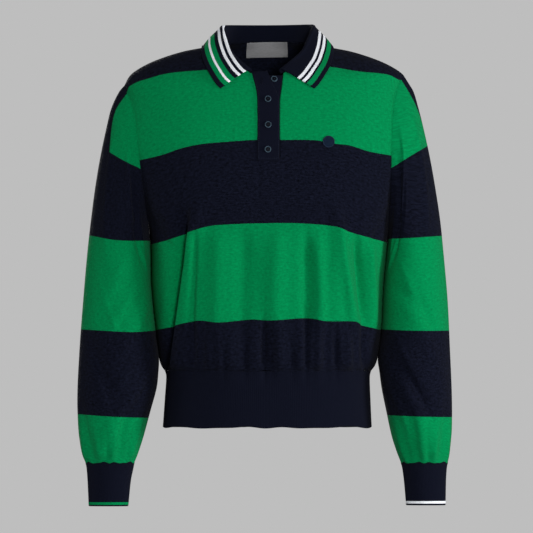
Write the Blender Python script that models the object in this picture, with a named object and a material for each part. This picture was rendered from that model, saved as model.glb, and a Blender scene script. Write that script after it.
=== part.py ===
"""A long-sleeved knitted polo sweater, worn form, hollow, with nobody in it.

The sweater hangs as on a pair of shoulders: drop-shoulder front and back panels, two full sleeves
gathered into rib cuffs, a rib waistband that the body blouses over, a turned-down collar, and a
placket of two bands with four buttons. Every piece is a closed wall of cloth with its own thickness.

All sizes and places in this file are millimetres; a mesh becomes metres when it is made.
+Z is up, the front faces -Y, and the viewer's right of the front is +X. The origin lies on the centre
plane at the height of the shoulders' high points, where the wearer's shoulders carry the sweater.
"""

import math

import bmesh
import bpy
from mathutils import Vector

MM = 0.001
SEAM_GAP = 0.3  # between pieces at a seam
CURVED_GAP = 0.45  # the same where both edges of a seam are curved
LAID_GAP = 0.4  # between a panel and what lies on it
BUTTON_GAP = 0.6  # between a band and a button on it
CLOTH = 2.0  # thickness of the knitted walls
RIB = 2.2  # thickness of the waistband and cuffs
STRIP = 1.6  # thickness of the placket bands
LEFT, RIGHT = -1, 1  # sides as the viewer of the front sees them
FRONT, BACK = -1, 1

# The shoulder line, which is also the half width of the torso's form above the armholes
SHOULDER = (  # height, across
    (-58.0, 220.5),
    (-43.0, 212.0),
    (-31.0, 196.0),
    (-18.6, 170.0),
    (-6.0, 131.0),
    (0.0, 100.0),
    (4.0, 74.0),
    (10.5, 57.0),
)
# Each panel's edge from the waistband up the side seam, and from the underarm up the armhole seam
UNDERARM = -303.0
PANEL_EDGE = {
    LEFT: (  # height, across
        (-500.0, 158.0),
        (-492.0, 163.5),
        (-480.0, 167.0),
        (-437.0, 172.0),
        (-370.0, 178.5),
        (-303.0, 180.0),
        (-232.0, 189.0),
        (-174.0, 196.5),
        (-117.0, 203.0),
        (-88.0, 209.0),
        (-72.0, 215.5),
        (-58.0, 220.5),
    ),
    RIGHT: (
        (-500.0, 161.0),
        (-492.0, 167.0),
        (-480.0, 171.0),
        (-437.0, 177.0),
        (-370.0, 180.0),
        (-303.0, 186.0),
        (-232.0, 190.0),
        (-174.0, 191.6),
        (-117.0, 193.0),
        (-88.0, 195.5),
        (-60.0, 202.0),
        (-42.0, 211.0),
    ),
}
ARMHOLE_TOP = {LEFT: -58.0, RIGHT: -42.0}
ARMHOLE_DEPTH = 58.0  # from the armhole's middle to its foremost point, and the same to the back
ARMHOLE_POINT = 1.45  # power of the armhole's sine: 1 is an ellipse, more is more pointed at top and bottom

# How far the torso's form stands out in front of and behind the shoulder line, on the centre plane
DEPTH = {
    FRONT: (  # height, depth
        (-500.0, 103.0),
        (-492.0, 108.0),
        (-480.0, 111.0),
        (-440.0, 112.0),
        (-370.0, 111.0),
        (-303.0, 112.0),
        (-240.0, 113.0),
        (-180.0, 110.0),
        (-130.0, 103.0),
        (-90.0, 94.0),
        (-60.0, 84.0),
        (-42.0, 74.0),
        (-20.0, 54.0),
        (-6.0, 33.0),
        (0.0, 21.0),
        (4.0, 12.0),
    ),
    BACK: (
        (-500.0, 99.0),
        (-492.0, 103.5),
        (-480.0, 106.0),
        (-440.0, 106.0),
        (-370.0, 103.0),
        (-303.0, 103.0),
        (-240.0, 106.0),
        (-180.0, 107.0),
        (-130.0, 104.0),
        (-90.0, 98.0),
        (-60.0, 90.0),
        (-42.0, 83.0),
        (-20.0, 71.0),
        (-6.0, 62.0),
        (4.0, 57.0),
        (10.5, 54.0),
    ),
}
ROUNDNESS = (  # height, exponent of the torso's rounded sections: 2 is an ellipse, more is squarer
    (-500.0, 2.35),
    (-400.0, 2.45),
    (-303.0, 2.75),
    (-240.0, 2.6),
    (-130.0, 2.25),
    (-60.0, 2.1),
    (10.5, 1.9),
)
# The neck edge of each panel, from the centre to the shoulder seam
NECK_ACROSS = 74.0
NECK_EDGE = {
    FRONT: (  # across, height
        (0.0, -46.0),
        (24.0, -40.0),
        (45.0, -23.5),
        (60.0, -8.5),
        (74.0, 4.0),
    ),
    BACK: (
        (0.0, 10.3),
        (40.0, 9.0),
        (60.0, 6.6),
        (74.0, 4.0),
    ),
}

# The cut-out in the front panel that the placket bands close
NOTCH_BOTTOM = -172.5
NOTCH_EDGE = {
    LEFT: ((-172.5, -13.0), (-83.0, -13.0), (-64.0, -15.0), (-40.0, -21.5)),  # height, x
    RIGHT: ((-172.5, 19.8), (-83.0, 19.8), (-64.0, 22.3), (-40.0, 25.0)),
}
NOTCH_MIDDLE = 3.4

# Largest folds of the front: a ridge has a positive rise, a trough a negative one
FRONT_FOLDS = (  # x above, height above, x below, height below, half width, rise
    (-108.0, -250.0, -143.0, -500.0, 12.0, 6.0),
    (-130.0, -262.0, -160.0, -496.0, 12.0, -11.0),
    (-89.0, -303.0, -98.0, -499.0, 13.0, -4.5),
    (-20.0, -320.0, -16.0, -420.0, 16.0, -2.5),
    (79.0, -318.0, 74.0, -400.0, 14.0, -3.5),
    (106.0, -250.0, 138.0, -432.0, 12.0, 6.0),
    (133.0, -305.0, 152.0, -420.0, 12.0, -6.0),
    (-74.0, -430.0, -72.0, -500.0, 13.0, 3.0),
    (-50.0, -430.0, -50.0, -500.0, 12.0, 3.5),
    (4.0, -426.0, 4.0, -500.0, 15.0, -5.0),
    (57.0, -430.0, 56.0, -500.0, 11.0, 4.0),
    (89.0, -424.0, 90.0, -500.0, 11.0, -4.0),
    (108.0, -428.0, 110.0, -500.0, 10.0, 3.5),
    (-176.0, -236.0, -128.0, -300.0, 13.0, 3.5),
    (176.0, -236.0, 132.0, -296.0, 13.0, 3.0),
)
# Similar folds of the back, which the front hides
BACK_FOLDS = (
    (128.0, -255.0, 146.0, -498.0, 13.0, -7.0),
    (104.0, -250.0, 118.0, -498.0, 13.0, 4.5),
    (-126.0, -262.0, -148.0, -498.0, 13.0, -7.5),
    (-101.0, -248.0, -117.0, -498.0, 13.0, 4.5),
    (48.0, -330.0, 55.0, -500.0, 17.0, -4.0),
    (-40.0, -350.0, -46.0, -500.0, 17.0, -4.0),
    (4.0, -395.0, 2.0, -500.0, 17.0, 4.0),
    (172.0, -240.0, 120.0, -292.0, 15.0, 3.5),
    (-172.0, -240.0, -116.0, -296.0, 15.0, 3.5),
)
FOLD_FADE = 30.0  # a fold dies away over this height at each end
SEAM_FADE = 16.0  # and a gather over this height above the waistband's seam

# Rows of the panels' grids: fixed heights below the underarm, then shares of the height above it
LOW_ROWS = (-500.0, -492.0, -480.0, -462.0, -440.0, -415.0, -388.0, -360.0, -331.0)
HIGH_ROWS = 13
FRONT_COLUMNS = 15  # on each side of the cut-out
BACK_COLUMNS = 11  # on each side of the centre
NECK_COLUMNS = 4  # of those, the columns that end at the neck edge
COLUMN_POWER = 0.9  # below 1 it spreads the columns towards the middle
PLACKET_PULL = (1.0, 1.0, 0.6, 0.25)  # share of a row's shift to the cut-out's foot, outwards from the middle

# The sleeves, seen from the front: outer line and inner line, and which heights a ring joins
SLEEVE_OUTER = {
    LEFT: (  # height, across
        (-58.0, 220.5),
        (-68.0, 229.0),
        (-93.0, 241.0),
        (-118.0, 247.5),
        (-167.0, 258.0),
        (-217.0, 266.5),
        (-267.0, 273.0),
        (-316.0, 278.5),
        (-391.0, 285.0),
        (-465.0, 290.5),
        (-539.0, 294.0),
        (-589.0, 292.5),
        (-614.0, 289.5),
        (-631.0, 286.0),
        (-643.0, 281.0),
    ),
    RIGHT: (
        (-42.0, 211.0),
        (-56.0, 220.0),
        (-68.0, 227.0),
        (-93.0, 234.5),
        (-118.0, 241.0),
        (-167.0, 252.0),
        (-217.0, 261.0),
        (-267.0, 268.5),
        (-316.0, 273.5),
        (-391.0, 280.0),
        (-465.0, 283.5),
        (-539.0, 286.5),
        (-589.0, 286.5),
        (-614.0, 284.5),
        (-631.0, 282.5),
        (-643.0, 280.0),
    ),
}
SLEEVE_INNER = {
    LEFT: (
        (-303.0, 180.4),
        (-315.0, 182.6),
        (-370.0, 181.6),
        (-437.0, 175.4),
        (-480.0, 170.0),
        (-502.0, 168.6),
        (-527.0, 171.0),
        (-564.0, 181.0),
        (-601.0, 191.0),
        (-626.0, 199.0),
        (-643.0, 205.5),
    ),
    RIGHT: (
        (-303.0, 186.4),
        (-315.0, 187.8),
        (-370.0, 183.4),
        (-437.0, 180.2),
        (-480.0, 174.4),
        (-502.0, 174.6),
        (-527.0, 177.5),
        (-564.0, 185.0),
        (-601.0, 193.0),
        (-626.0, 201.0),
        (-643.0, 207.5),
    ),
}
SLEEVE_RINGS = (  # share of the way down the outer line, height on the inner line, half depth
    (0.000, -303.0, 56.0),
    (0.032, -307.0, 58.5),
    (0.070, -312.0, 61.0),
    (0.114, -319.0, 63.0),
    (0.164, -328.0, 65.0),
    (0.220, -338.0, 66.5),
    (0.278, -350.0, 67.5),
    (0.338, -365.0, 68.0),
    (0.400, -382.0, 68.0),
    (0.462, -401.0, 67.5),
    (0.524, -421.0, 67.0),
    (0.586, -442.0, 66.5),
    (0.648, -465.0, 66.0),
    (0.708, -489.0, 66.0),
    (0.766, -514.0, 65.5),
    (0.820, -539.0, 64.0),
    (0.868, -563.0, 61.0),
    (0.911, -586.0, 56.5),
    (0.947, -606.0, 50.0),
    (0.975, -624.0, 42.0),
    (0.991, -636.0, 35.0),
    (1.000, -643.0, 31.0),
)
SEAM_RINGS = 7  # rings over which the armhole seam's own curve dies out
INNER_CALM = (20.0, 50.0)  # a sleeve's folds start and are full at these turns away from its inner line
ARM_SWING = ((-643.0, -16.0), (-460.0, -4.0), (-300.0, 4.0), (-160.0, 3.0), (-40.0, 0.0))  # height, y
# Largest folds of a sleeve. Turn is round the ring: 0 on the outer line, 90 front, 180 inner, 270 back
SLEEVE_FOLDS = {
    LEFT: (  # share above, turn above, share below, turn below, half width, rise
        (0.10, 40.0, 0.40, 62.0, 10.0, 2.8),
        (0.05, 95.0, 0.26, 126.0, 13.0, -4.5),
        (0.02, 62.0, 0.30, 150.0, 9.0, 3.0),
        (0.40, 118.0, 0.62, 60.0, 12.0, -3.5),
        (0.50, 140.0, 0.72, 86.0, 12.0, 3.5),
        (0.66, 44.0, 0.86, 100.0, 12.0, -3.5),
        (0.80, 120.0, 0.97, 72.0, 12.0, 3.0),
        (0.86, 30.0, 1.00, 52.0, 9.0, -4.0),
        (0.86, 110.0, 1.00, 112.0, 9.0, -4.0),
        (0.86, 160.0, 1.00, 150.0, 9.0, 3.0),
        (0.10, 300.0, 0.42, 282.0, 12.0, 3.0),
        (0.45, 236.0, 0.66, 290.0, 12.0, -3.5),
        (0.62, 300.0, 0.84, 250.0, 12.0, 3.5),
        (0.86, 268.0, 1.00, 262.0, 10.0, -4.0),
        (0.86, 318.0, 1.00, 316.0, 10.0, -3.0),
    ),
    RIGHT: (
        (0.12, 36.0, 0.38, 58.0, 10.0, 2.5),
        (0.05, 92.0, 0.27, 126.0, 13.0, -4.0),
        (0.02, 58.0, 0.30, 148.0, 9.0, 3.0),
        (0.42, 128.0, 0.60, 70.0, 12.0, -3.0),
        (0.54, 96.0, 0.76, 50.0, 12.0, 3.0),
        (0.70, 130.0, 0.88, 66.0, 12.0, -4.0),
        (0.78, 110.0, 0.97, 84.0, 11.0, 3.0),
        (0.86, 34.0, 1.00, 48.0, 9.0, -3.5),
        (0.86, 104.0, 1.00, 104.0, 9.0, -4.0),
        (0.86, 156.0, 1.00, 148.0, 9.0, 3.0),
        (0.12, 304.0, 0.40, 286.0, 12.0, 3.0),
        (0.44, 240.0, 0.64, 286.0, 12.0, -3.5),
        (0.60, 306.0, 0.82, 256.0, 12.0, 3.5),
        (0.86, 272.0, 1.00, 264.0, 10.0, -4.0),
        (0.86, 322.0, 1.00, 312.0, 10.0, -3.0),
    ),
}
FOLD_SHARE_FADE = 0.07  # a sleeve's fold dies away over this share of its length at each end

# The cuffs: plain rib tubes
CUFF = {
    LEFT: (  # height, outer across, inner across, half depth
        (-643.4, 281.0, 205.5, 31.0),
        (-651.0, 279.5, 207.0, 29.5),
        (-670.0, 278.0, 210.9, 28.4),
        (-710.0, 276.2, 215.0, 27.0),
    ),
    RIGHT: (
        (-643.4, 280.0, 207.5, 31.0),
        (-651.0, 278.5, 209.5, 29.5),
        (-670.0, 277.3, 212.1, 28.4),
        (-708.5, 276.6, 215.5, 27.0),
    ),
}
CUFF_SIDES = 26

WAISTBAND = (  # height, left half width, right half width, front depth, back depth
    (-500.35, 158.0, 161.0, 103.0, 99.0),
    (-509.0, 156.2, 159.2, 102.0, 98.0),
    (-548.0, 158.6, 160.4, 103.0, 99.0),
    (-588.0, 161.4, 162.2, 104.5, 100.5),
)
WAISTBAND_SIDES = 42
BAND_ROUNDNESS = 2.35

# The collar, from the centre back to a front end. Its base follows the neck edge, where the turn is 0 at
# the centre back and 90 at the shoulder seam. Its outer edge is the loose one
COLLAR = {
    LEFT: (  # neck turn, fold x y z, edge x y z
        (0.0, 0.0, 57.0, 35.2, 0.0, 77.0, -20.0),
        (17.0, 23.0, 54.5, 35.2, 30.0, 75.0, -20.0),
        (36.0, 45.0, 46.0, 35.2, 60.0, 66.0, -18.0),
        (56.0, 59.5, 29.0, 35.0, 83.0, 46.0, -11.0),
        (77.0, 67.0, 9.0, 34.0, 97.0, 18.0, 1.0),
        (98.0, 66.5, -7.0, 27.0, 101.5, -12.0, -2.0),
        (116.0, 61.5, -24.0, 13.0, 101.5, -36.0, -13.0),
        (131.0, 53.5, -41.0, -5.0, 95.0, -58.0, -30.0),
        (146.0, 40.5, -55.5, -19.5, 85.0, -72.0, -48.0),
        (160.0, 23.5, -68.0, -33.6, 73.0, -82.0, -65.5),
    ),
    RIGHT: (
        (0.0, 0.0, 57.0, 35.2, 0.0, 77.0, -20.0),
        (17.0, 23.0, 54.5, 35.4, 30.0, 75.0, -20.0),
        (36.0, 45.5, 46.0, 35.8, 60.0, 66.0, -18.0),
        (56.0, 61.5, 29.0, 36.0, 84.0, 46.0, -11.0),
        (77.0, 69.5, 9.0, 35.0, 98.0, 18.0, 1.0),
        (98.0, 67.5, -7.0, 27.5, 103.0, -12.0, 0.0),
        (116.0, 61.5, -24.0, 13.5, 103.0, -36.0, -12.0),
        (131.0, 53.0, -41.0, -4.0, 97.0, -58.0, -30.0),
        (146.0, 37.5, -56.0, -18.5, 86.5, -72.0, -48.0),
        (163.0, 18.5, -68.5, -33.6, 74.5, -82.0, -65.5),
    ),
}
COLLAR_CLOTH = 1.8
COLLAR_BEND = 2.6  # radius of the fold, at the middle of the cloth
COLLAR_STEPS = 12  # stations on each side of the centre back
COLLAR_REST = 2.4  # from the panels to the middle of the cloth of the fall
COLLAR_BULGE = 2.5  # how far the middle of the fall stands out from a straight line at the back
COLLAR_FLAT = (0.55, 0.9)  # shares of the way to a front end between which that fades to nothing
COLLAR_TURNS = (45.0, 90.0, 135.0)  # degrees round the fold
COLLAR_FALL = (0.08, 0.3, 0.55, 0.8, 1.0)  # shares of the way down the fall

# The placket bands: each edge's x by height
OVER_EDGE = {
    LEFT: ((-175.6, -15.0), (-83.0, -15.0), (-64.0, -17.0), (-38.5, -24.0)),  # height, x
    RIGHT: ((-175.6, 19.4), (-88.0, 19.4), (-77.0, 18.0), (-58.0, 9.0), (-38.5, 0.0)),
}
OVER_HEIGHTS = (-175.6, -160.0, -140.0, -120.0, -100.0, -88.0, -77.0, -67.0, -58.0, -48.0, -38.5)
OVER_ACROSS = 4
OVER_LIFT = ((-175.6, 0.0), (-90.0, 0.0), (-60.0, 1.5), (-38.5, 3.0))  # height, lift of the free edge
UNDER_HEIGHTS = (-172.0, -150.0, -126.0, -102.0, -83.0, -72.0, -60.0, -49.0, -42.8)
UNDER_EDGE = {
    LEFT: ((-172.0, -9.0), (-42.8, -9.0)),
    RIGHT: tuple((height, x - LAID_GAP) for height, x in NOTCH_EDGE[RIGHT]),
}
UNDER_ACROSS = 3

BUTTONS = (  # x, height, band that it sits on, in degrees the tilt of its face sideways
    (11.0, -49.5, "under", 8.0),
    (1.5, -80.5, "over", 0.0),
    (1.8, -120.0, "over", 0.0),
    (1.4, -158.0, "over", 0.0),
)
BUTTON_PROFILE = (  # radius, height above the cloth
    (0.0, 0.0),
    (4.2, 0.0),
    (5.0, 1.1),
    (4.5, 2.2),
    (3.7, 2.2),
    (3.0, 1.5),
    (0.0, 1.5),
)
BUTTON_SIDES = 16

BADGE = (95.0, -146.0)  # x and height of its middle
BADGE_RADIUS = 9.3
BADGE_THICK = 1.1
BADGE_RINGS, BADGE_SIDES = 2, 24
LABEL_HALF = 32.4
LABEL_HEIGHTS = (-13.3, -7.4, -1.4, 4.0, 9.2)
LABEL_THICK = 0.7
LABEL_GAP = 2.1  # behind it, where the back panel is most curved
LABEL_ACROSS = 6

NAVY = (0.0065, 0.0085, 0.018)
GREEN = (0.0030, 0.1950, 0.0620)
GREY = (0.20, 0.20, 0.20)
BUTTON_NAVY = (0.008, 0.012, 0.030)


def between(low, high, share):
    return low + (high - low) * share


def eased(share):
    """0 to 1 with soft ends."""
    share = min(max(share, 0.0), 1.0)
    return share * share * (3.0 - 2.0 * share)


def smooth(table, at, column=1):
    """A table's value at a place, on one smooth curve through its rows, level past its ends."""
    rows = sorted(table)
    if at <= rows[0][0]:
        return rows[0][column]
    if at >= rows[-1][0]:
        return rows[-1][column]
    i = max(k for k, row in enumerate(rows) if row[0] <= at)

    def slope(k):
        a, b = max(k - 1, 0), min(k + 1, len(rows) - 1)
        return (rows[b][column] - rows[a][column]) / (rows[b][0] - rows[a][0])

    length = rows[i + 1][0] - rows[i][0]
    t = (at - rows[i][0]) / length
    start, end = rows[i][column], rows[i + 1][column]
    bend = (1 - t) * slope(i) * length * t * (1 - t) - t * slope(i + 1) * length * t * (1 - t)
    return between(start, end, eased(t)) + bend


def shoulder_height(across):
    """Height of the shoulder line at a distance from the centre plane, by halving."""
    low, high = SHOULDER[0][0], SHOULDER[-1][0]
    for _ in range(40):
        middle = (low + high) / 2
        if smooth(SHOULDER, middle) > across:
            low = middle
        else:
            high = middle
    return (low + high) / 2


def edge_across(side, height):
    return smooth(PANEL_EDGE[side], min(height, ARMHOLE_TOP[side]))


def armhole_share(side, height):
    """-1 at the underarm, 1 at the armhole's top."""
    middle = (ARMHOLE_TOP[side] + UNDERARM) / 2
    return min(max((height - middle) / (ARMHOLE_TOP[side] - middle), -1.0), 1.0)


def armhole_spread(side, height):
    """How far the armhole seam stands in front of or behind the shoulder line at a height."""
    up = armhole_share(side, height)
    return ARMHOLE_DEPTH * math.sqrt(1 - up * up) ** ARMHOLE_POINT


def form_width(side, face, height):
    """Half width of the torso's form: to the side seam, enough to pass the armhole, then to the shoulder."""
    if height >= ARMHOLE_TOP[side]:
        return smooth(SHOULDER, height)
    power = smooth(ROUNDNESS, height)
    spread = armhole_spread(side, height) / smooth(DEPTH[face], height)
    return edge_across(side, height) / (1 - spread**power) ** (1 / power)


def form_depth(face, x, height):
    """Distance of the torso's form from the plane of the shoulder line."""
    side = LEFT if x < 0 else RIGHT
    power = smooth(ROUNDNESS, height)
    share = min(abs(x) / form_width(side, face, height), 1.0)
    return smooth(DEPTH[face], height) * (1 - share**power) ** (1 / power)


def fold_rise(folds, x, height):
    """Sum of the folds' rises at a place of a panel."""
    rise = 0.0
    for x_top, top, x_low, low, half_width, high in folds:
        if low - FOLD_FADE < height < top + FOLD_FADE:
            share = (top - height) / (top - low)
            middle = between(x_top, x_low, share)
            fade = eased((top + FOLD_FADE - height) / (2 * FOLD_FADE))
            if low > LOW_ROWS[2]:
                fade *= eased((height - low + FOLD_FADE) / (2 * FOLD_FADE))
            fade *= eased((height - LOW_ROWS[0]) / SEAM_FADE)
            rise += high * fade * math.exp(-(((x - middle) / half_width) ** 2))
    return rise


def form_point(face, x, height):
    return Vector((x, face * form_depth(face, x, height), height))


def panel_point(face, x, height, out=0.0):
    """A point of a panel's outer face with its folds, moved out by a distance, and the way out there."""
    step = 2.0
    across = form_point(face, x + step, height) - form_point(face, x - step, height)
    up = form_point(face, x, height + step) - form_point(face, x, height - step)
    way_out = (across.cross(up) * -face).normalized()
    folds = FRONT_FOLDS if face == FRONT else BACK_FOLDS
    return form_point(face, x, height) + way_out * (fold_rise(folds, x, height) + out), way_out


def grid_normals(rows, wrap=False):
    """The way out at each point of a grid, from the point's neighbours, columns running left to right."""
    last_row, last = len(rows) - 1, len(rows[0]) - 1
    normals = []
    for r, row in enumerate(rows):
        line = []
        for c in range(len(row)):
            if wrap:
                before, after = row[c - 1], row[(c + 1) % len(row)]
            else:
                before, after = row[max(c - 1, 0)], row[min(c + 1, last)]
            above, below = rows[min(r + 1, last_row)][c], rows[max(r - 1, 0)][c]
            line.append((after - before).cross(above - below).normalized())
        normals.append(line)
    return normals


def without(vector, axis):
    """A direction with one of its parts taken out."""
    level = vector.copy()
    level[axis] = 0.0
    return level.normalized()


def principled(name, colour, roughness):
    material = bpy.data.materials.new(name)
    material.use_nodes = True
    shader = material.node_tree.nodes["Principled BSDF"]
    shader.inputs["Base Color"].default_value = (*colour, 1.0)
    shader.inputs["Roughness"].default_value = roughness
    shader.inputs["Metallic"].default_value = 0.0
    return material


def add_object(name, mesh_data, colour, roughness=0.85):
    """Turns a bmesh in millimetres into a named object with its own material."""
    bmesh.ops.scale(mesh_data, vec=(MM, MM, MM), verts=mesh_data.verts)
    mesh = bpy.data.meshes.new(name)
    mesh_data.to_mesh(mesh)
    mesh_data.free()
    mesh.materials.append(principled(name, colour, roughness))
    mesh.shade_smooth()
    piece = bpy.data.objects.new(name, mesh)
    bpy.context.collection.objects.link(piece)
    return piece


def wall(name, rows, normals, thickness, colour, wrap=False, skip=None, out=0.0):
    """A closed wall of cloth: the grid of points moved out, a second grid a thickness further in, and the rim
    between them. skip(row, column) leaves a quad of the grid open."""
    mesh = bmesh.new()
    layers = []
    for depth in (out, out - thickness):
        layers.append(
            [[mesh.verts.new(p + n * depth) for p, n in zip(row, line)] for row, line in zip(rows, normals)]
        )
    columns = len(rows[0])
    count = columns if wrap else columns - 1
    edges = {}
    for r in range(len(rows) - 1):
        for c in range(count):
            if skip and skip(r, c):
                continue
            d = (c + 1) % columns
            corners = ((r, c), (r, d), (r + 1, d), (r + 1, c))
            mesh.faces.new([layers[0][i][j] for i, j in corners])
            mesh.faces.new([layers[1][i][j] for i, j in reversed(corners)])
            for k in range(4):
                edges[(corners[k], corners[(k + 1) % 4])] = True
    for start, end in edges:
        if (end, start) not in edges:
            rim = (layers[0][end[0]][end[1]], layers[0][start[0]][start[1]])
            rim += (layers[1][start[0]][start[1]], layers[1][end[0]][end[1]])
            mesh.faces.new(rim)
    loose = [v for v in mesh.verts if not v.link_faces]
    bmesh.ops.delete(mesh, geom=loose, context="VERTS")
    return add_object(name, mesh, colour)


def column_shares(face):
    """For each column from the inner one to the panel's edge: its share across low down, and at the top."""
    count = FRONT_COLUMNS if face == FRONT else BACK_COLUMNS
    shares = []
    for c in range(count + 1):
        low = math.sin(math.pi / 2 * c / count) ** COLUMN_POWER
        shares.append((low, c / NECK_COLUMNS, (c - NECK_COLUMNS) / (count - NECK_COLUMNS)))
    return shares


def column_point(face, side, inner, shares, row):
    """The point of a panel's grid at a column and a row, before its folds."""
    low, neck_share, shoulder_share = shares
    top_edge = edge_across(side, ARMHOLE_TOP[side])
    if neck_share <= 1.0:
        x_top = between(abs(inner(0.0)), NECK_ACROSS, neck_share)
        height_top = smooth(NECK_EDGE[face], x_top)
    else:
        x_top = between(NECK_ACROSS, top_edge, shoulder_share)
        height_top = shoulder_height(x_top)
    if shoulder_share >= 1.0:
        height_top = ARMHOLE_TOP[side]
    if row < len(LOW_ROWS):
        height, blend = LOW_ROWS[row], 0.0
    else:
        turn = math.pi * (row - len(LOW_ROWS)) / HIGH_ROWS
        blend = (1 - math.cos(turn)) / 2
        height = between(UNDERARM, height_top, blend)
    start = abs(inner(height))
    wide = edge_across(side, height)
    low_x = between(start, wide, low)
    top_share = (x_top - abs(inner(0.0))) / (top_edge - abs(inner(0.0)))
    x = between(low_x, between(start, wide, top_share), eased(blend))
    if blend == 1.0:
        x = x_top
    return side * x, height


def panel(name, face):
    """A front or back panel, with its folds, and on the front the cut-out for the placket."""
    if face == FRONT:
        inner = {side: (lambda height, s=side: smooth(NOTCH_EDGE[s], height)) for side in (LEFT, RIGHT)}
    else:
        inner = {side: (lambda height: 0.0) for side in (LEFT, RIGHT)}
    shares = column_shares(face)
    row_count = len(LOW_ROWS) + HIGH_ROWS + 1
    rows = []
    for r in range(row_count):
        left = [column_point(face, LEFT, inner[LEFT], s, r) for s in reversed(shares)]
        right = [column_point(face, RIGHT, inner[RIGHT], s, r) for s in shares]
        if face == FRONT:
            middle = [(NOTCH_MIDDLE, (left[-1][1] + right[0][1]) / 2)]
        else:
            left, middle = left[:-1], []
        rows.append([list(place) for place in left + middle + right])
    centre = len(shares) if face == FRONT else None
    notch_row = None
    if face == FRONT:
        heights = [row[centre][1] for row in rows]
        notch_row = min(range(row_count), key=lambda r: abs(heights[r] - NOTCH_BOTTOM))
        shift = NOTCH_BOTTOM - heights[notch_row]
        for c in range(centre - 3, centre + 4):
            rows[notch_row][c][1] += shift * PLACKET_PULL[abs(c - centre)]
        for c in (centre - 1, centre, centre + 1):
            rows[notch_row][c][1] = NOTCH_BOTTOM
    points = [[form_point(face, x, height) for x, height in row] for row in rows]
    folds = FRONT_FOLDS if face == FRONT else BACK_FOLDS
    if face == BACK:  # so that the grid's columns run to the right as seen from outside
        points = [row[::-1] for row in points]
    normals = grid_normals(points)
    last = len(points[0]) - 1
    for r, row in enumerate(points):
        for c, point in enumerate(row):
            edge = min(c, last - c)
            calm = min(edge / 2, 1.0) * min((row_count - 1 - r) / 2, 1.0)
            row[c] = point + normals[r][c] * fold_rise(folds, point.x, point.z) * calm
    normals = grid_normals(points)
    for r in range(row_count):
        for c in (0, last):
            side = LEFT if points[r][c].x < 0 else RIGHT
            if r <= len(LOW_ROWS):
                normals[r][c] = without(normals[r][c], 1)
            else:
                normals[r][c] = armhole_way(side, points[r][c], normals[r][c])
    for c in range(last + 1):
        normals[0][c] = without(normals[0][c], 2)
        if abs(points[-1][c].x) >= NECK_ACROSS - 0.1:
            normals[-1][c] = without(normals[-1][c], 1)
    for c in (0, last):
        normals[-1][c] = armhole_way(LEFT if points[-1][c].x < 0 else RIGHT, points[-1][c], normals[-1][c])
    for row in points:
        for point in row:
            if abs(point.y) < SEAM_GAP / 2:
                point.y = face * SEAM_GAP / 2

    def open_quad(r, c):
        return face == FRONT and r >= notch_row and c in (centre - 1, centre)

    return wall(name, points, normals, CLOTH, GREEN if face == FRONT else NAVY, skip=open_quad)


def armhole_way(side, point, own):
    """The way out at the armhole seam: square to the shoulder line at its top, the piece's own lower down."""
    up = armhole_share(side, point.z)
    top = ARMHOLE_TOP[side]
    fall = smooth(SHOULDER, top) - smooth(SHOULDER, top + 4.0)
    shared = Vector((side * 4.0, 0.0, fall)).normalized() * max(up, 0.0)
    shared += Vector((0.0, point.y / ARMHOLE_DEPTH, min(up, 0.0)))
    return shared.normalized().lerp(own, (1 - up) / 2).normalized()


def sleeve_folds(side, share, turn, reach):
    """Sum of a sleeve's folds at a share of its length and a turn round it, whose degree is reach long."""
    rise = 0.0
    for top, turn_top, low, turn_low, half_width, high in SLEEVE_FOLDS[side]:
        if top - FOLD_SHARE_FADE < share < low + FOLD_SHARE_FADE:
            middle = between(turn_top, turn_low, (share - top) / (low - top))
            away = ((turn - middle + 180.0) % 360.0 - 180.0) * reach
            fade = eased((share - top + FOLD_SHARE_FADE) / (2 * FOLD_SHARE_FADE))
            if low < 1.0:
                fade *= eased((low + FOLD_SHARE_FADE - share) / (2 * FOLD_SHARE_FADE))
            rise += high * fade * math.exp(-((away / half_width) ** 2))
    return rise


def sleeve_ring(side, share, inner_height, half_depth):
    """One flat ring of a sleeve: round from the outer line over the front to the inner line and back."""
    top = ARMHOLE_TOP[side]
    end = SLEEVE_INNER[side][-1][0]
    outer_height = between(top, end, share)
    outer = Vector((side * smooth(SLEEVE_OUTER[side], outer_height), 0.0, outer_height))
    inner = Vector((side * smooth(SLEEVE_INNER[side], inner_height), 0.0, inner_height))
    centre, arm = (outer + inner) / 2, (outer - inner) / 2
    ring = []
    for k in range(2 * HIGH_ROWS):
        turn = math.pi * k / HIGH_ROWS
        point = centre + arm * math.cos(turn)
        point.y = -half_depth * math.sin(turn)
        ring.append(point)
    return ring


def armhole_ring(side):
    """The armhole seam itself, at the heights where the panels' rows meet it."""
    ring = []
    for k in range(2 * HIGH_ROWS):
        turn = math.pi * k / HIGH_ROWS
        height = between(UNDERARM, ARMHOLE_TOP[side], (1 + math.cos(turn)) / 2)
        across = edge_across(side, height) + CURVED_GAP
        face = FRONT if k < HIGH_ROWS else BACK
        ring.append(Vector((side * across, face * armhole_spread(side, height), height)))
    return ring


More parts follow.
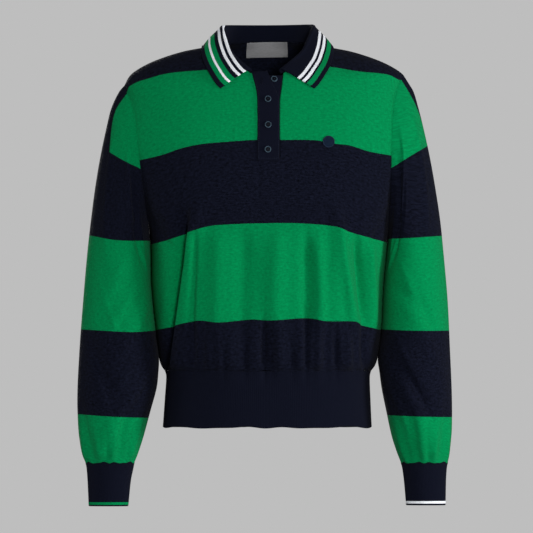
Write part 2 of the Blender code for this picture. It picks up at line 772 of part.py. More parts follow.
def sleeve(name, side):
    """A sleeve from the armhole seam to the gathered wrist."""
    rings = [sleeve_ring(side, *row) for row in SLEEVE_RINGS]
    seam = armhole_ring(side)
    residue = [a - b for a, b in zip(seam, rings[0])]
    for r in range(SEAM_RINGS):
        weight = (1 - r / SEAM_RINGS) ** 2
        rings[r] = [point + extra * weight for point, extra in zip(rings[r], residue)]
    for r, ring in enumerate(rings):
        swing = eased(r / SEAM_RINGS)
        for point in ring:
            point.y += smooth(ARM_SWING, point.z) * swing
    rings = rings[::-1]
    if side == RIGHT:  # so that a ring's points run to the right as seen from outside on either sleeve
        rings = [[ring[-k] for k in range(len(ring))] for ring in rings]
    normals = grid_normals(rings, wrap=True)
    count = len(rings)
    for r, ring in enumerate(rings):
        share = SLEEVE_RINGS[count - 1 - r][0]
        calm = min((count - 1 - r) / 2, r / 2, 1.0)
        middle = sum(ring, Vector()) / len(ring)
        reach = math.pi * (ring[0] - middle).length / 180.0
        for c, point in enumerate(ring):
            outward = normals[r][c]
            turn = 360.0 * c / len(ring)
            turn = turn if side == LEFT else 360.0 - turn
            rise = sleeve_folds(side, share, turn, reach) * calm
            start, full = INNER_CALM
            inner_side = eased((abs(turn - 180.0) - start) / (full - start))
            ring[c] = point + outward * rise * inner_side
    normals = grid_normals(rings, wrap=True)
    for c in range(len(rings[0])):
        normals[0][c] = without(normals[0][c], 2)
        normals[-1][c] = armhole_way(side, rings[-1][c], normals[-1][c])
    return wall(name, rings, normals, CLOTH, GREEN, wrap=True)


def tube(name, rings, thickness):
    """A wall round a pile of rings, the lowest first, each ring running to the right as seen from outside."""
    normals = grid_normals(rings, wrap=True)
    for line in (normals[0], normals[-1]):
        for c, way in enumerate(line):
            line[c] = without(way, 2)
    return wall(name, rings, normals, thickness, NAVY, wrap=True)


def cuff(name, side):
    rings = []
    for height, outer, inner, half_depth in reversed(CUFF[side]):
        centre, half = side * (outer + inner) / 2, (outer - inner) / 2
        swing = smooth(ARM_SWING, height)
        ring = []
        for k in range(CUFF_SIDES):
            turn = 2 * math.pi * k / CUFF_SIDES
            ring.append(Vector((centre + half * math.cos(turn), swing + half_depth * math.sin(turn), height)))
        rings.append(ring)
    return tube(name, rings, RIB)


def waistband(name):
    rings = []
    power = 2 / BAND_ROUNDNESS
    for height, left, right, front, back in reversed(WAISTBAND):
        ring = []
        for k in range(WAISTBAND_SIDES):
            turn = 2 * math.pi * k / WAISTBAND_SIDES
            across, deep = math.cos(turn), math.sin(turn)
            x = math.copysign(abs(across) ** power, across) * (right if across > 0 else left)
            y = math.copysign(abs(deep) ** power, deep) * (back if deep > 0 else front)
            ring.append(Vector((x, y, height)))
        rings.append(ring)
    return tube(name, rings, RIB)


def clear_of_panels(point):
    """Moves a point of the collar's fall out until it lies on the shoulders and panels."""
    face = FRONT if point.y < 0 else BACK
    for _ in range(12):
        if point.z - COLLAR_REST > shoulder_height(abs(point.x)):
            break
        height = min(point.z, shoulder_height(abs(point.x)) - 0.5)
        on_form, way = panel_point(face, point.x, height)
        short = COLLAR_REST - (point - on_form).dot(way)
        if short <= 0.0:
            break
        point = point + way * short
    return point


def neck_seam(degrees):
    """Where the middle of the collar's cloth stands on the neck edge, just above the panels' rim."""
    face = BACK if degrees < 90.0 else FRONT
    x = NECK_ACROSS * math.sin(math.radians(degrees))
    edge = form_point(face, x, smooth(NECK_EDGE[face], x))
    inward = Vector((-edge.x, -edge.y, 0.0)).normalized()
    return edge + inward * CLOTH / 2 + Vector((0.0, 0.0, CURVED_GAP))


def collar_station(side, share):
    """The middle line of the collar's cloth from the neck seam over the fold to the outer edge."""
    table = [(i / (len(COLLAR[side]) - 1), *row) for i, row in enumerate(COLLAR[side])]
    values = [smooth(table, share, column) for column in range(1, 8)]
    base, fold, edge = neck_seam(values[0]), Vector(values[1:4]), Vector(values[4:7])
    away = Vector((edge.x - fold.x, edge.y - fold.y, 0.0)).normalized()
    stand_top = fold - Vector((0.0, 0.0, COLLAR_BEND))
    line = [base, between(base, stand_top, 0.5), stand_top]
    for degrees in COLLAR_TURNS:
        turn = math.radians(degrees)
        point = stand_top + away * COLLAR_BEND * (1 - math.cos(turn))
        line.append(point + Vector((0.0, 0.0, COLLAR_BEND * math.sin(turn))))
    line[-1] = clear_of_panels(line[-1])
    fall_top = stand_top + away * 2 * COLLAR_BEND
    start, end = COLLAR_FLAT
    bulge = COLLAR_BULGE * (1 - eased((share - start) / (end - start)))
    for share_down in COLLAR_FALL:
        point = between(fall_top, edge, share_down) + away * bulge * math.sin(math.pi * share_down)
        line.append(clear_of_panels(point))
    return [Vector((side * p.x, p.y, p.z)) for p in line]


def collar(name):
    stations = [collar_station(LEFT, k / COLLAR_STEPS) for k in range(COLLAR_STEPS, 0, -1)]
    stations += [collar_station(RIGHT, k / COLLAR_STEPS) for k in range(COLLAR_STEPS + 1)]
    rows = [list(line) for line in zip(*stations)]
    normals = grid_normals(rows)
    return wall(name, rows, normals, COLLAR_CLOTH, NAVY, out=COLLAR_CLOTH / 2)


def band_on_front(name, heights, edges, across, low, lift=None):
    """A flat band made from the front panel's points moved out, low being its inner face's distance."""
    rows, normals = [], []
    for height in heights:
        left, right = smooth(edges[LEFT], height), smooth(edges[RIGHT], height)
        row, line = [], []
        for c in range(across + 1):
            share = c / across
            raised = smooth(lift, height) * share if lift else 0.0
            point, way = panel_point(FRONT, between(left, right, share), height, low + raised)
            row.append(point)
            line.append(way)
        rows.append(row)
        normals.append(line)
    return wall(name, rows, normals, STRIP, NAVY, out=STRIP)


def button(name, x, height, tilt, out):
    """A turned button with a raised rim, its back on the band's outer face."""
    place, way = panel_point(FRONT, x, height, out)
    mesh = bmesh.new()
    line = [mesh.verts.new((radius, 0.0, rise)) for radius, rise in BUTTON_PROFILE]
    edges = [mesh.edges.new(pair) for pair in zip(line, line[1:])]
    bmesh.ops.spin(
        mesh, geom=line + edges, cent=(0, 0, 0), axis=(0, 0, 1), angle=2 * math.pi, steps=BUTTON_SIDES
    )
    bmesh.ops.remove_doubles(mesh, verts=mesh.verts, dist=0.01)
    bmesh.ops.recalc_face_normals(mesh, faces=mesh.faces)
    turn = Vector((0, 0, 1)).rotation_difference(way + Vector((math.radians(tilt), 0, 0)))
    bmesh.ops.rotate(mesh, verts=mesh.verts, cent=(0, 0, 0), matrix=turn.to_matrix())
    bmesh.ops.translate(mesh, verts=mesh.verts, vec=place)
    return add_object(name, mesh, BUTTON_NAVY, roughness=0.35)


def badge(name):
    """A round sewn-on badge whose layers follow the front panel."""
    mesh = bmesh.new()
    layers = []
    for out in (LAID_GAP, LAID_GAP + BADGE_THICK):
        middle = mesh.verts.new(panel_point(FRONT, *BADGE, out)[0])
        circles = []
        for r in range(1, BADGE_RINGS + 1):
            circle = []
            for k in range(BADGE_SIDES):
                turn = 2 * math.pi * k / BADGE_SIDES
                radius = BADGE_RADIUS * r / BADGE_RINGS
                x, height = BADGE[0] + radius * math.cos(turn), BADGE[1] + radius * math.sin(turn)
                circle.append(mesh.verts.new(panel_point(FRONT, x, height, out)[0]))
            circles.append(circle)
        layers.append((middle, circles))
    low_rim, high_rim = layers[0][1][-1], layers[1][1][-1]
    for k in range(BADGE_SIDES):
        after = (k + 1) % BADGE_SIDES
        for middle, circles in layers:
            mesh.faces.new((middle, circles[0][k], circles[0][after]))
            for inner, outer in zip(circles, circles[1:]):
                mesh.faces.new((inner[k], outer[k], outer[after], inner[after]))
        mesh.faces.new((low_rim[k], low_rim[after], high_rim[after], high_rim[k]))
    bmesh.ops.recalc_face_normals(mesh, faces=mesh.faces)
    return add_object(name, mesh, NAVY)


def neck_label(name):
    """A woven label inside the back, just below the neck seam, made from the back panel's points moved in."""
    depth = CLOTH + LABEL_GAP
    rows, normals = [], []
    for height in LABEL_HEIGHTS:
        row, line = [], []
        for c in range(LABEL_ACROSS + 1):
            x = between(-LABEL_HALF, LABEL_HALF, c / LABEL_ACROSS)
            point, way = panel_point(BACK, x, height, -depth)
            row.append(point)
            line.append(-way)
        rows.append(row)
        normals.append(line)
    return wall(name, rows, normals, LABEL_THICK, GREY, out=LABEL_THICK)


for old in list(bpy.data.objects):
    bpy.data.objects.remove(old)

panel("front_panel", FRONT)
panel("back_panel", BACK)
sleeve("sleeve_left", LEFT)
sleeve("sleeve_right", RIGHT)
cuff("cuff_left", LEFT)
cuff("cuff_right", RIGHT)
waistband("waistband")
collar("collar")
band_on_front("placket_under", UNDER_HEIGHTS, UNDER_EDGE, UNDER_ACROSS, -STRIP)
band_on_front("placket_over", OVER_HEIGHTS, OVER_EDGE, OVER_ACROSS, LAID_GAP, OVER_LIFT)
for number, (x, height, band, tilt) in enumerate(BUTTONS, start=1):
    band_face = LAID_GAP + STRIP if band == "over" else 0.0
    button(f"button_{number}", x, height, tilt, band_face + BUTTON_GAP)
badge("chest_badge")
neck_label("neck_label")
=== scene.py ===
"""The looks of a long-sleeved knitted polo sweater: fine knit in wide green and navy bands, navy ribs, a
striped collar, a buttoned placket, a plain badge and a blank woven label.

Sizes and places are millimetres until a mesh is made. +Z is up, the front faces -Y, and the viewer's
right of the front is +X.
"""

import math

import bpy
import numpy as np
from mathutils import Matrix, Vector


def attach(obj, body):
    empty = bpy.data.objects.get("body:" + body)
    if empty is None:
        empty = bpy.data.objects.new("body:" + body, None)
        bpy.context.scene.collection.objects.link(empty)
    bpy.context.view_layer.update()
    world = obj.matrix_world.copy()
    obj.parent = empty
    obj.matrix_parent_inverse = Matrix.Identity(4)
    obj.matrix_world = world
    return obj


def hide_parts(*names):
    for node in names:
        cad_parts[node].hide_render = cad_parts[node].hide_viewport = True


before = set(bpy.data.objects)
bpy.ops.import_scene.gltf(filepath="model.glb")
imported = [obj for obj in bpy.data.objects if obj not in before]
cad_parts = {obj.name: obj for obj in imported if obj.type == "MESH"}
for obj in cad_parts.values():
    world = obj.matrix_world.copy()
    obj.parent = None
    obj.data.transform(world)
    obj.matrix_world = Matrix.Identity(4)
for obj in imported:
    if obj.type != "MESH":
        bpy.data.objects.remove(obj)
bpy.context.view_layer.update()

# Front and back panels: plain fine knit, cut with dropped shoulders and linked to the sleeves, to each
# other at the shoulders and sides, and to the waistband, over which they blouse in soft vertical folds.
MM = 0.001
LEFT, RIGHT = -1, 1
FRONT, BACK = -1, 1
CLOTH = 2.0  # thickness of the plain knit
RIM_ROUND = 0.35  # how far a wall's two faces stop short of its rim, as a share of its thickness
SEAM_GAP = 0.3  # between the front and the back at their seams
SHOULDER = (  # height, across
    (-58, 220.5), (-43, 212), (-31, 196), (-18.6, 170), (-6, 131), (0, 100), (4, 74), (10.5, 57),
)
UNDERARM = -303.0
PANEL_EDGE = {
    LEFT: (  # height, across
        (-500, 158), (-492, 163.5), (-480, 167), (-437, 172), (-370, 178.5), (-303, 180), (-232, 189),
        (-174, 196.5), (-117, 203), (-88, 209), (-72, 215.5), (-58, 220.5),
    ),
    RIGHT: (
        (-500, 161), (-492, 167), (-480, 171), (-437, 177), (-370, 180), (-303, 186), (-232, 190),
        (-174, 191.6), (-117, 193), (-88, 195.5), (-60, 202), (-42, 211),
    ),
}
ARMHOLE_TOP = {LEFT: -58.0, RIGHT: -42.0}
ARMHOLE_DEPTH, ARMHOLE_POINT = 58.0, 1.45  # half its width from front to back, and how pointed its ends are
DEPTH = {
    FRONT: (  # height, depth of the form on the centre plane
        (-500, 103), (-492, 108), (-480, 111), (-440, 112), (-370, 111), (-303, 112), (-240, 113),
        (-180, 110), (-130, 103), (-90, 94), (-60, 84), (-42, 74), (-20, 54), (-6, 33), (0, 21),
        (4, 12),
    ),
    BACK: (
        (-500, 99), (-492, 103.5), (-480, 106), (-440, 106), (-370, 103), (-303, 103), (-240, 106),
        (-180, 107), (-130, 104), (-90, 98), (-60, 90), (-42, 83), (-20, 71), (-6, 62), (4, 57),
        (10.5, 54),
    ),
}
ROUNDNESS = (  # height, exponent of the torso's rounded sections
    (-500, 2.35), (-400, 2.45), (-303, 2.75), (-240, 2.6), (-130, 2.25), (-60, 2.1), (10.5, 1.9),
)
NECK_ACROSS = 74.0
NECK_EDGE = {
    FRONT: ((0, -46), (24, -40), (45, -23.5), (60, -8.5), (74, 4)),  # across, height
    BACK: ((0, 10.3), (40, 9), (60, 6.6), (74, 4)),
}
NOTCH_BOTTOM = -172.5
NOTCH_EDGE = {
    LEFT: ((-172.5, -13), (-83, -13), (-64, -15), (-40, -21.5)),  # height, x
    RIGHT: ((-172.5, 19.8), (-83, 19.8), (-64, 22.3), (-40, 25)),
}
FRONT_FOLDS = (  # x above, height above, x below, height below, half width, rise
    (-108, -250, -143, -500, 12, 6), (-130, -262, -160, -496, 12, -11),
    (-89, -303, -98, -499, 13, -4.5), (-20, -320, -16, -420, 16, -2.5), (79, -318, 74, -400, 14, -3.5),
    (106, -250, 138, -432, 12, 6), (133, -305, 152, -420, 12, -6), (-74, -430, -72, -500, 13, 3),
    (-50, -430, -50, -500, 12, 3.5), (4, -426, 4, -500, 15, -5), (57, -430, 56, -500, 11, 4),
    (89, -424, 90, -500, 11, -4), (108, -428, 110, -500, 10, 3.5), (-176, -236, -128, -300, 13, 3.5),
    (176, -236, 132, -296, 13, 3),
)
BACK_FOLDS = (
    (128, -255, 146, -498, 13, -7), (104, -250, 118, -498, 13, 4.5), (-126, -262, -148, -498, 13, -7.5),
    (-101, -248, -117, -498, 13, 4.5), (48, -330, 55, -500, 17, -4), (-40, -350, -46, -500, 17, -4),
    (4, -395, 2, -500, 17, 4), (172, -240, 120, -292, 15, 3.5), (-172, -240, -116, -296, 15, 3.5),
)
FRONT_CREASES = (  # the sharper and smaller folds that only the fine cloth has
    (-118, -262, -151, -500, 4.5, 4.5), (-127, -266, -159, -500, 5, -8),
    (-138, -286, -168, -470, 8, 3.2), (-110, -292, -118, -450, 4.5, -6),
    (-89, -300, -97, -450, 13, 3.5), (-76, -290, -81, -440, 13, 5), (-37, -290, -40, -480, 14, -6),
    (16, -290, 12, -440, 14, 6), (60, -296, 62, -430, 8, -7.5), (80, -300, 84, -440, 9, 7),
    (106, -300, 109, -440, 10, 2.5), (113, -258, 132, -434, 6, 3), (139, -296, 155, -436, 6, -8),
    (160, -300, 167, -430, 6, 5.5), (-114, -440, -116, -500, 5, -4.5), (-92, -446, -92, -500, 7, 5),
    (-66, -462, -66, -500, 4.5, -3.5), (-34, -470, -34, -500, 4.5, -3), (-5, -428, -4, -500, 4.5, -8),
    (18, -440, 18, -500, 8, 6), (38, -464, 39, -500, 4.5, -3), (61, -420, 60, -500, 4.5, -8),
    (80, -438, 80, -500, 7, 7), (106, -436, 107, -500, 4.5, -8), (124, -438, 125, -500, 6.5, 6.5),
    (149, -430, 152, -500, 5, -7), (-174, -250, -122, -276, 6, 2.4), (-178, -268, -136, -330, 6, -3),
    (176, -250, 124, -280, 6, 2.2), (180, -268, 146, -330, 6, -2.6), (-186, -216, -150, -236, 6, 1.6),
    (184, -214, 148, -240, 6, 1.6),
)
BACK_CREASES = (
    (131, -262, 149, -500, 5, -5.6), (-129, -268, -151, -500, 5, -6.1),
    (-108, -256, -124, -500, 5, 3.5), (50, -420, 56, -500, 5, -4.2), (-42, -430, -46, -500, 5, -3.8),
    (-14, -452, -14, -500, 6, 2.9), (28, -456, 30, -500, 6, 2.9), (82, -448, 84, -500, 5, -3.2),
    (-84, -452, -88, -500, 5, 3.2), (-174, -250, -122, -282, 6, 2.6), (176, -252, 124, -276, 6, 2.9),
    (178, -270, 140, -328, 6, -2.9),
)
UNEVEN = (  # slow waves over the whole cloth: rise, across, up, start
    (0.55, 43, 71, 0.4), (0.45, -31, 52, 2.1), (0.3, 19, -37, 4),
)
FOLD_FADE = 30.0  # a fold comes up over twice this distance at its ends
SEAM_FADE, SEAM_KEEP = 14.0, 0.3  # above the waist seam a gather fades over this height to this share
WAIST, TOP_COURSE = -500.0, 20.0
LOW_ROWS = (-500, -492, -480, -462, -440, -415, -388, -360, -331, UNDERARM)
LOW_COUNT, HIGH_COUNT = 9, 13  # steps of the CAD panel's rows below and above the underarm
COLUMN_COUNT = {FRONT: 15, BACK: 11}
NECK_COUNT = 4  # of the columns of a panel's half, those that end at the neck
FINE_ROWS, FINE_COLUMNS = 6, {FRONT: 7, BACK: 7}  # fine steps in each of those steps
PLACKET_COLUMNS = 12
CENTRE_EDGE = ((-500, 0), (10, 0))  # height, x: where the halves of the back meet
COLUMN_EASE = 0.9
CALM_STEPS = 2  # the folds die away in the last steps before a seam
EDGE_SLACK = 0.1

# Where the colour changes, low to high: navy below the first line, green up to the second, and so on
BAND_EDGES = {
    FRONT: (  # x, height
        (
            (-172, -437), (-146, -431), (-108, -422.5), (-73, -425), (-24, -420.5), (5, -422),
            (63, -418.5), (90, -423), (134, -423.5), (144, -427.5), (171, -436),
        ),
        (
            (-180, -305), (-152, -297), (-116, -284), (-87, -276), (-43, -273), (-10, -272), (49, -272),
            (105, -277), (128, -285.5), (187, -302),
        ),
        (
            (-196.5, -174), (-162, -166), (-132, -156), (-103, -150), (-63, -146), (-16, -143),
            (21, -143), (73, -143.5), (105, -149), (128, -152), (158, -161), (192, -167),
        ),
        (
            (-219, -74), (-213, -60), (-182, -48), (-148, -39), (-93, -34), (-40, -31.5), (40, -30),
            (95, -29.5), (144, -37), (188, -42), (205, -50),
        ),
    ),
    BACK: (
        ((-172, -437), (-120, -423), (-50, -416), (0, -415), (60, -416), (171, -436)),
        ((-180, -305), (-120, -281), (-50, -268), (0, -266), (60, -268), (187, -302)),
        ((-196.5, -174), (-120, -152), (-50, -142), (0, -140), (60, -142), (192, -167)),
        ((-219, -74), (-205, -60), (-148, -52), (0, -48), (144, -48), (205, -52)),
    ),
}


def between(low, high, share):
    return low + (high - low) * share


def eased(share):
    """0 to 1 with soft ends."""
    share = np.clip(share, 0.0, 1.0)
    return share * share * (3.0 - 2.0 * share)


def smooth(table, at, column=1):
    """A table's value at each place, on one smooth curve through its rows, level past its ends."""
    rows = np.array(sorted(table))
    place, value = rows[:, 0], rows[:, column]
    ahead, behind = np.append(np.arange(1, len(place)), -1), np.append(0, np.arange(len(place) - 1))
    slope = (value[ahead] - value[behind]) / (place[ahead] - place[behind])
    at = np.clip(at, place[0], place[-1])
    i = np.clip(np.searchsorted(place, at, side="right") - 1, 0, len(place) - 2)
    length = place[i + 1] - place[i]
    t = (at - place[i]) / length
    bend = t * (1 - t) * length * ((1 - t) * slope[i] - t * slope[i + 1])
    return between(value[i], value[i + 1], eased(t)) + bend


def shoulder_height(across):
    """Height of the shoulder line at a distance from the centre plane."""
    fine_steps = 2000
    heights = np.linspace(SHOULDER[-1][0], SHOULDER[0][0], fine_steps)
    return np.interp(across, smooth(SHOULDER, heights), heights)


def edge_across(side, height):
    return smooth(PANEL_EDGE[side], np.minimum(height, ARMHOLE_TOP[side]))


def armhole_share(side, height):
    """-1 at the underarm, 1 at the armhole's top."""
    middle = (ARMHOLE_TOP[side] + UNDERARM) / 2
    return np.clip((height - middle) / (ARMHOLE_TOP[side] - middle), -1.0, 1.0)


def armhole_spread(side, height):
    """How far the armhole seam stands in front of or behind the shoulder line at a height."""
    return ARMHOLE_DEPTH * np.sqrt(1 - armhole_share(side, height) ** 2) ** ARMHOLE_POINT


def form_width(side, face, height):
    """Half width of the torso's form."""
    power = smooth(ROUNDNESS, height)
    spread = armhole_spread(side, height) / smooth(DEPTH[face], height)
    below = edge_across(side, height) / (1 - spread**power) ** (1 / power)
    return np.where(height >= ARMHOLE_TOP[side], smooth(SHOULDER, height), below)


def form_point(face, x, height):
    """A point of the torso's form, before its folds."""
    x, height = np.asarray(x, float), np.asarray(height, float)
    power = smooth(ROUNDNESS, height)
    width = np.where(x < 0, form_width(LEFT, face, height), form_width(RIGHT, face, height))
    share = np.minimum(abs(x) / width, 1.0)
    depth = smooth(DEPTH[face], height) * (1 - share**power) ** (1 / power)
    return np.stack((x, face * depth, height), axis=-1)


def fold_rise(folds, x, height):
    """Sum of the folds' rises at places of a panel."""
    rise = np.zeros(np.broadcast(x, height).shape)
    for x_top, top, x_low, low, half_width, high in folds:
        middle = between(x_top, x_low, (top - height) / (top - low))
        fade = eased((top + FOLD_FADE - height) / (2 * FOLD_FADE))
        if low > LOW_ROWS[2]:  # it ends above the waist
            fade = fade * eased((height - low + FOLD_FADE) / (2 * FOLD_FADE))
        fade = fade * between(SEAM_KEEP, 1.0, eased((height - WAIST) / SEAM_FADE))
        rise += high * fade * np.exp(-(((x - middle) / half_width) ** 2))
    return rise


def all_folds(face, x, height):
    """Every rise of a panel's fine cloth: the main folds, the creases and a slow unevenness."""
    rise = fold_rise(FRONT_FOLDS if face == FRONT else BACK_FOLDS, x, height)
    rise = rise + fold_rise(FRONT_CREASES if face == FRONT else BACK_CREASES, x, height)
    for high, wide, tall, start in UNEVEN:
        rise = rise + high * np.sin(x / wide + height / tall + start)
    return rise


def unit(vectors):
    return vectors / np.linalg.norm(vectors, axis=-1, keepdims=True)


def panel_point(face, x, height, out=0.0):
    """Points of a panel's outer face with its folds, moved out by a distance, and the ways out there."""
    step = 2.0
    across = form_point(face, x + step, height) - form_point(face, x - step, height)
    up = form_point(face, x, height + step) - form_point(face, x, height - step)
    way_out = unit(np.cross(across, up) * -face)
    rise = all_folds(face, x, height) + out
    return form_point(face, x, height) + way_out * np.asarray(rise)[..., None], way_out


def grid_ways(points, wrap=False):
    """The way out at each point of a grid whose columns run to the right and rows upwards."""
    if wrap:
        across = np.roll(points, -1, axis=1) - np.roll(points, 1, axis=1)
    else:
        across = np.gradient(points, axis=1)
    return unit(np.cross(across, np.gradient(points, axis=0)))


def flattened(ways, axis):
    """Directions with one of their parts taken out."""
    level = ways.copy()
    level[..., axis] = 0.0
    return unit(level)


def lengths_along(points, axis):
    """Distance of each point of a grid from its row's or column's first point."""
    steps = np.linalg.norm(np.diff(points, axis=axis), axis=-1)
    first = np.zeros_like(np.take(steps, [0], axis=axis))
    return np.concatenate((first, np.cumsum(steps, axis=axis)), axis=axis)


def placed(name, data):
    """A new object of a mesh, a light or a camera in the scene."""
    thing = bpy.data.objects.new(name, data)
    bpy.context.collection.objects.link(thing)
    return thing


def shell(name, outer, ways, thickness, across, along, green=None, wrap=False, skip=None):
    """A wall of cloth as one mesh: its outer face, its inner face a thickness further in, and a round rim.

    across and along are each point's place in the knit, for the pattern's own map; a wrapped grid has one
    column more of them than of points. green is the distance into a green band, less than 0 in navy."""
    rows, columns = outer.shape[:2]
    index = np.arange(rows * columns).reshape(rows, columns)
    right = np.roll(index, -1, axis=1) if wrap else index[:, 1:]
    left = index if wrap else index[:, :-1]
    keep = np.ones((rows - 1, left.shape[1]), bool) if skip is None else ~skip
    corners = np.stack((left[:-1], right[:-1], right[1:], left[1:]), axis=-1)
    map_place = np.stack((across, along), axis=-1)
    map_left, map_right = map_place[:, : left.shape[1]], map_place[:, 1:]
    places = np.stack((map_left[:-1], map_right[:-1], map_right[1:], map_left[1:]), axis=2)
    faces, spots = corners[keep], places[keep]
    sides = {}
    for face, spot in zip(faces.tolist(), spots.tolist()):
        for k in range(4):
            sides[(face[k], face[(k + 1) % 4])] = (spot[k], spot[(k + 1) % 4])
    edge = [(start, end, *spot) for (start, end), spot in sides.items() if (end, start) not in sides]
    starts, ends = np.array([side[0] for side in edge]), np.array([side[1] for side in edge])
    flat_points, flat_ways = outer.reshape(-1, 3), ways.reshape(-1, 3)
    away = np.zeros_like(flat_points)
    sideways = np.cross(flat_points[ends] - flat_points[starts], flat_ways[starts] + flat_ways[ends])
    np.add.at(away, starts, sideways)
    np.add.at(away, ends, sideways)
    rim = np.unique(starts)
    away[rim] = unit(away[rim]) * RIM_ROUND * thickness
    total = rows * columns
    middle_of = np.zeros(total, int)
    middle_of[rim] = 2 * total + np.arange(len(rim))
    middles = flat_points[rim] - flat_ways[rim] * thickness / 2
    vertices = np.concatenate((flat_points - away, flat_points - away - flat_ways * thickness, middles))
    rim_faces = np.concatenate(
        (
            np.stack((ends, starts, middle_of[starts], middle_of[ends]), axis=-1),
            np.stack((middle_of[ends], middle_of[starts], starts + total, ends + total), axis=-1),
        )
    )
    rim_spots = np.array([(at_end, at_start, at_start, at_end) for _, _, at_start, at_end in edge])
    all_faces = np.concatenate((faces, faces[:, ::-1] + total, rim_faces))
    all_spots = np.concatenate((spots, spots[:, ::-1], rim_spots, rim_spots))
    used = np.unique(all_faces)
    renumber = np.zeros(len(vertices), int)
    renumber[used] = np.arange(len(used))
    mesh = bpy.data.meshes.new(name)
    mesh.from_pydata((vertices[used] * MM).tolist(), [], renumber[all_faces].tolist())
    mesh.uv_layers.new(name="knit").data.foreach_set("uv", (all_spots * MM).reshape(-1))
    if green is not None:
        values = np.concatenate((green.reshape(-1), green.reshape(-1), green.reshape(-1)[rim]))[used]
        mesh.attributes.new("green_mm", "FLOAT", "POINT").data.foreach_set("value", values)
    mesh.shade_smooth()
    return placed(name, mesh)


class Wire:
    """A shader socket in a sum. Its operators add Math nodes, and node() adds a node of any type."""

    def __init__(self, tree, socket):
        self.tree, self.socket = tree, socket

    @classmethod
    def node(cls, tree, kind, settings=None, values=None, output=0):
        node = tree.nodes.new(kind)
        for name, value in (settings or {}).items():
            if name == "stops":
                for position, colour in value[len(node.color_ramp.elements) :]:
                    node.color_ramp.elements.new(position)
                for element, (position, colour) in zip(node.color_ramp.elements, value):
                    element.position, element.color = position, (*colour, 1.0)
            elif name == "interpolation":
                node.color_ramp.interpolation = value
            else:
                setattr(node, name, value)
        for name, value in (values or {}).items():
            if isinstance(value, cls):
                tree.links.new(value.socket, node.inputs[name])
            else:
                node.inputs[name].default_value = value
        return cls(tree, node.outputs[output]) if node.outputs else None

    def math(self, operation, *others):
        values = dict(enumerate((self, *others)))
        return Wire.node(self.tree, "ShaderNodeMath", {"operation": operation}, values)

    def __add__(self, other):
        return self.math("ADD", other)

    def __sub__(self, other):
        return self.math("SUBTRACT", other)

    def __rsub__(self, other):
        return (self * -1.0).math("ADD", other)

    def __mul__(self, other):
        return self.math("MULTIPLY", other)

    def __truediv__(self, other):
        return self.math("DIVIDE", other)

    __radd__ = __add__
    __rmul__ = __mul__


def colour_mix(tree, factor, first, second):
    """Mixes two colours, each an RGB value or a wire."""
    values = {0: factor}
    for slot, colour in ((6, first), (7, second)):
        values[slot] = colour if isinstance(colour, Wire) else (*colour, 1.0)
    return Wire.node(tree, "ShaderNodeMix", {"data_type": "RGBA"}, values, output=2)


def knit_wires(tree):
    """The knit's own map in metres: across the wales, and up the courses."""
    place = Wire.node(tree, "ShaderNodeUVMap", {"uv_map": "knit"})
    across = Wire.node(tree, "ShaderNodeSeparateXYZ", None, {0: place}, output=0)
    along = Wire.node(tree, "ShaderNodeSeparateXYZ", None, {0: place}, output=1)
    return place, across, along


def waves(place, pitch):
    """A sine wave of a pitch in millimetres, along one direction of the knit's own map."""
    return (place * (2.0 * math.pi / (pitch * MM))).math("SINE")


def stitches(across, along, wale, course):
    """Height of plain knit: in each wale two legs that lean towards each other in every course."""
    leg = ((across / (wale * MM)).math("FRACT") - 0.5).math("ABSOLUTE") * 2.0
    lean = (along / (course * MM) + leg * LEG_LEAN) * (2.0 * math.pi)
    round_leg = 1.0 - (leg - 0.5) * (leg - 0.5) * 4.0
    return round_leg * (lean.math("SINE") * LEG_DEPTH + (1.0 - LEG_DEPTH))


def mottle(tree, place, size, flat=1.0):
    """Soft noise of a size in millimetres on the knit's own map, flat times as long across as along."""
    scale = 1.0 / (size * MM)
    spread = Wire.node(tree, "ShaderNodeMapping", None, {0: place, 3: (scale / flat, scale, scale)})
    return Wire.node(tree, "ShaderNodeTexNoise", None, {"Vector": spread, "Scale": 1.0, "Detail": 2.0})


def shade(tree, colour, cloudy, much):
    """A colour made brighter and darker by a share of itself where the noise is high and low."""
    low, high = NOISE_RANGE
    ends = {"Value": cloudy, "From Min": low, "From Max": high, "To Min": 1.0 - much, "To Max": 1.0 + much}
    bright = Wire.node(tree, "ShaderNodeMapRange", None, ends)
    return Wire.node(tree, "ShaderNodeVectorMath", {"operation": "SCALE"}, {0: colour, "Scale": bright})


def surface_end(tree, values, kind="ShaderNodeBsdfPrincipled"):
    """Ends a material with one shader of these values."""
    surface = Wire.node(tree, kind, None, values)
    Wire.node(tree, "ShaderNodeOutputMaterial", None, {"Surface": surface})


def bump_wire(tree, height, strength, depth):
    """A bump that is a depth in millimetres where the height is 1."""
    values = {"Strength": strength, "Distance": depth * MM, "Height": height}
    return Wire.node(tree, "ShaderNodeBump", None, values)


def knit_finish(colour, height, tree):
    """Ends a cloth material: its colour, its stitches as a bump, and a matt face with little sheen."""
    values = {"Base Color": colour, "Normal": bump_wire(tree, height, 0.6, STITCH_DEPTH)}
    values.update({"Roughness": 0.92, "Specular IOR Level": 0.02})
    values.update({"Sheen Weight": 0.01, "Sheen Roughness": 0.5})
    surface_end(tree, values)


def new_tree(name):
    material = bpy.data.materials.new(name)
    material.use_nodes = True
    material.node_tree.nodes.clear()
    return material, material.node_tree


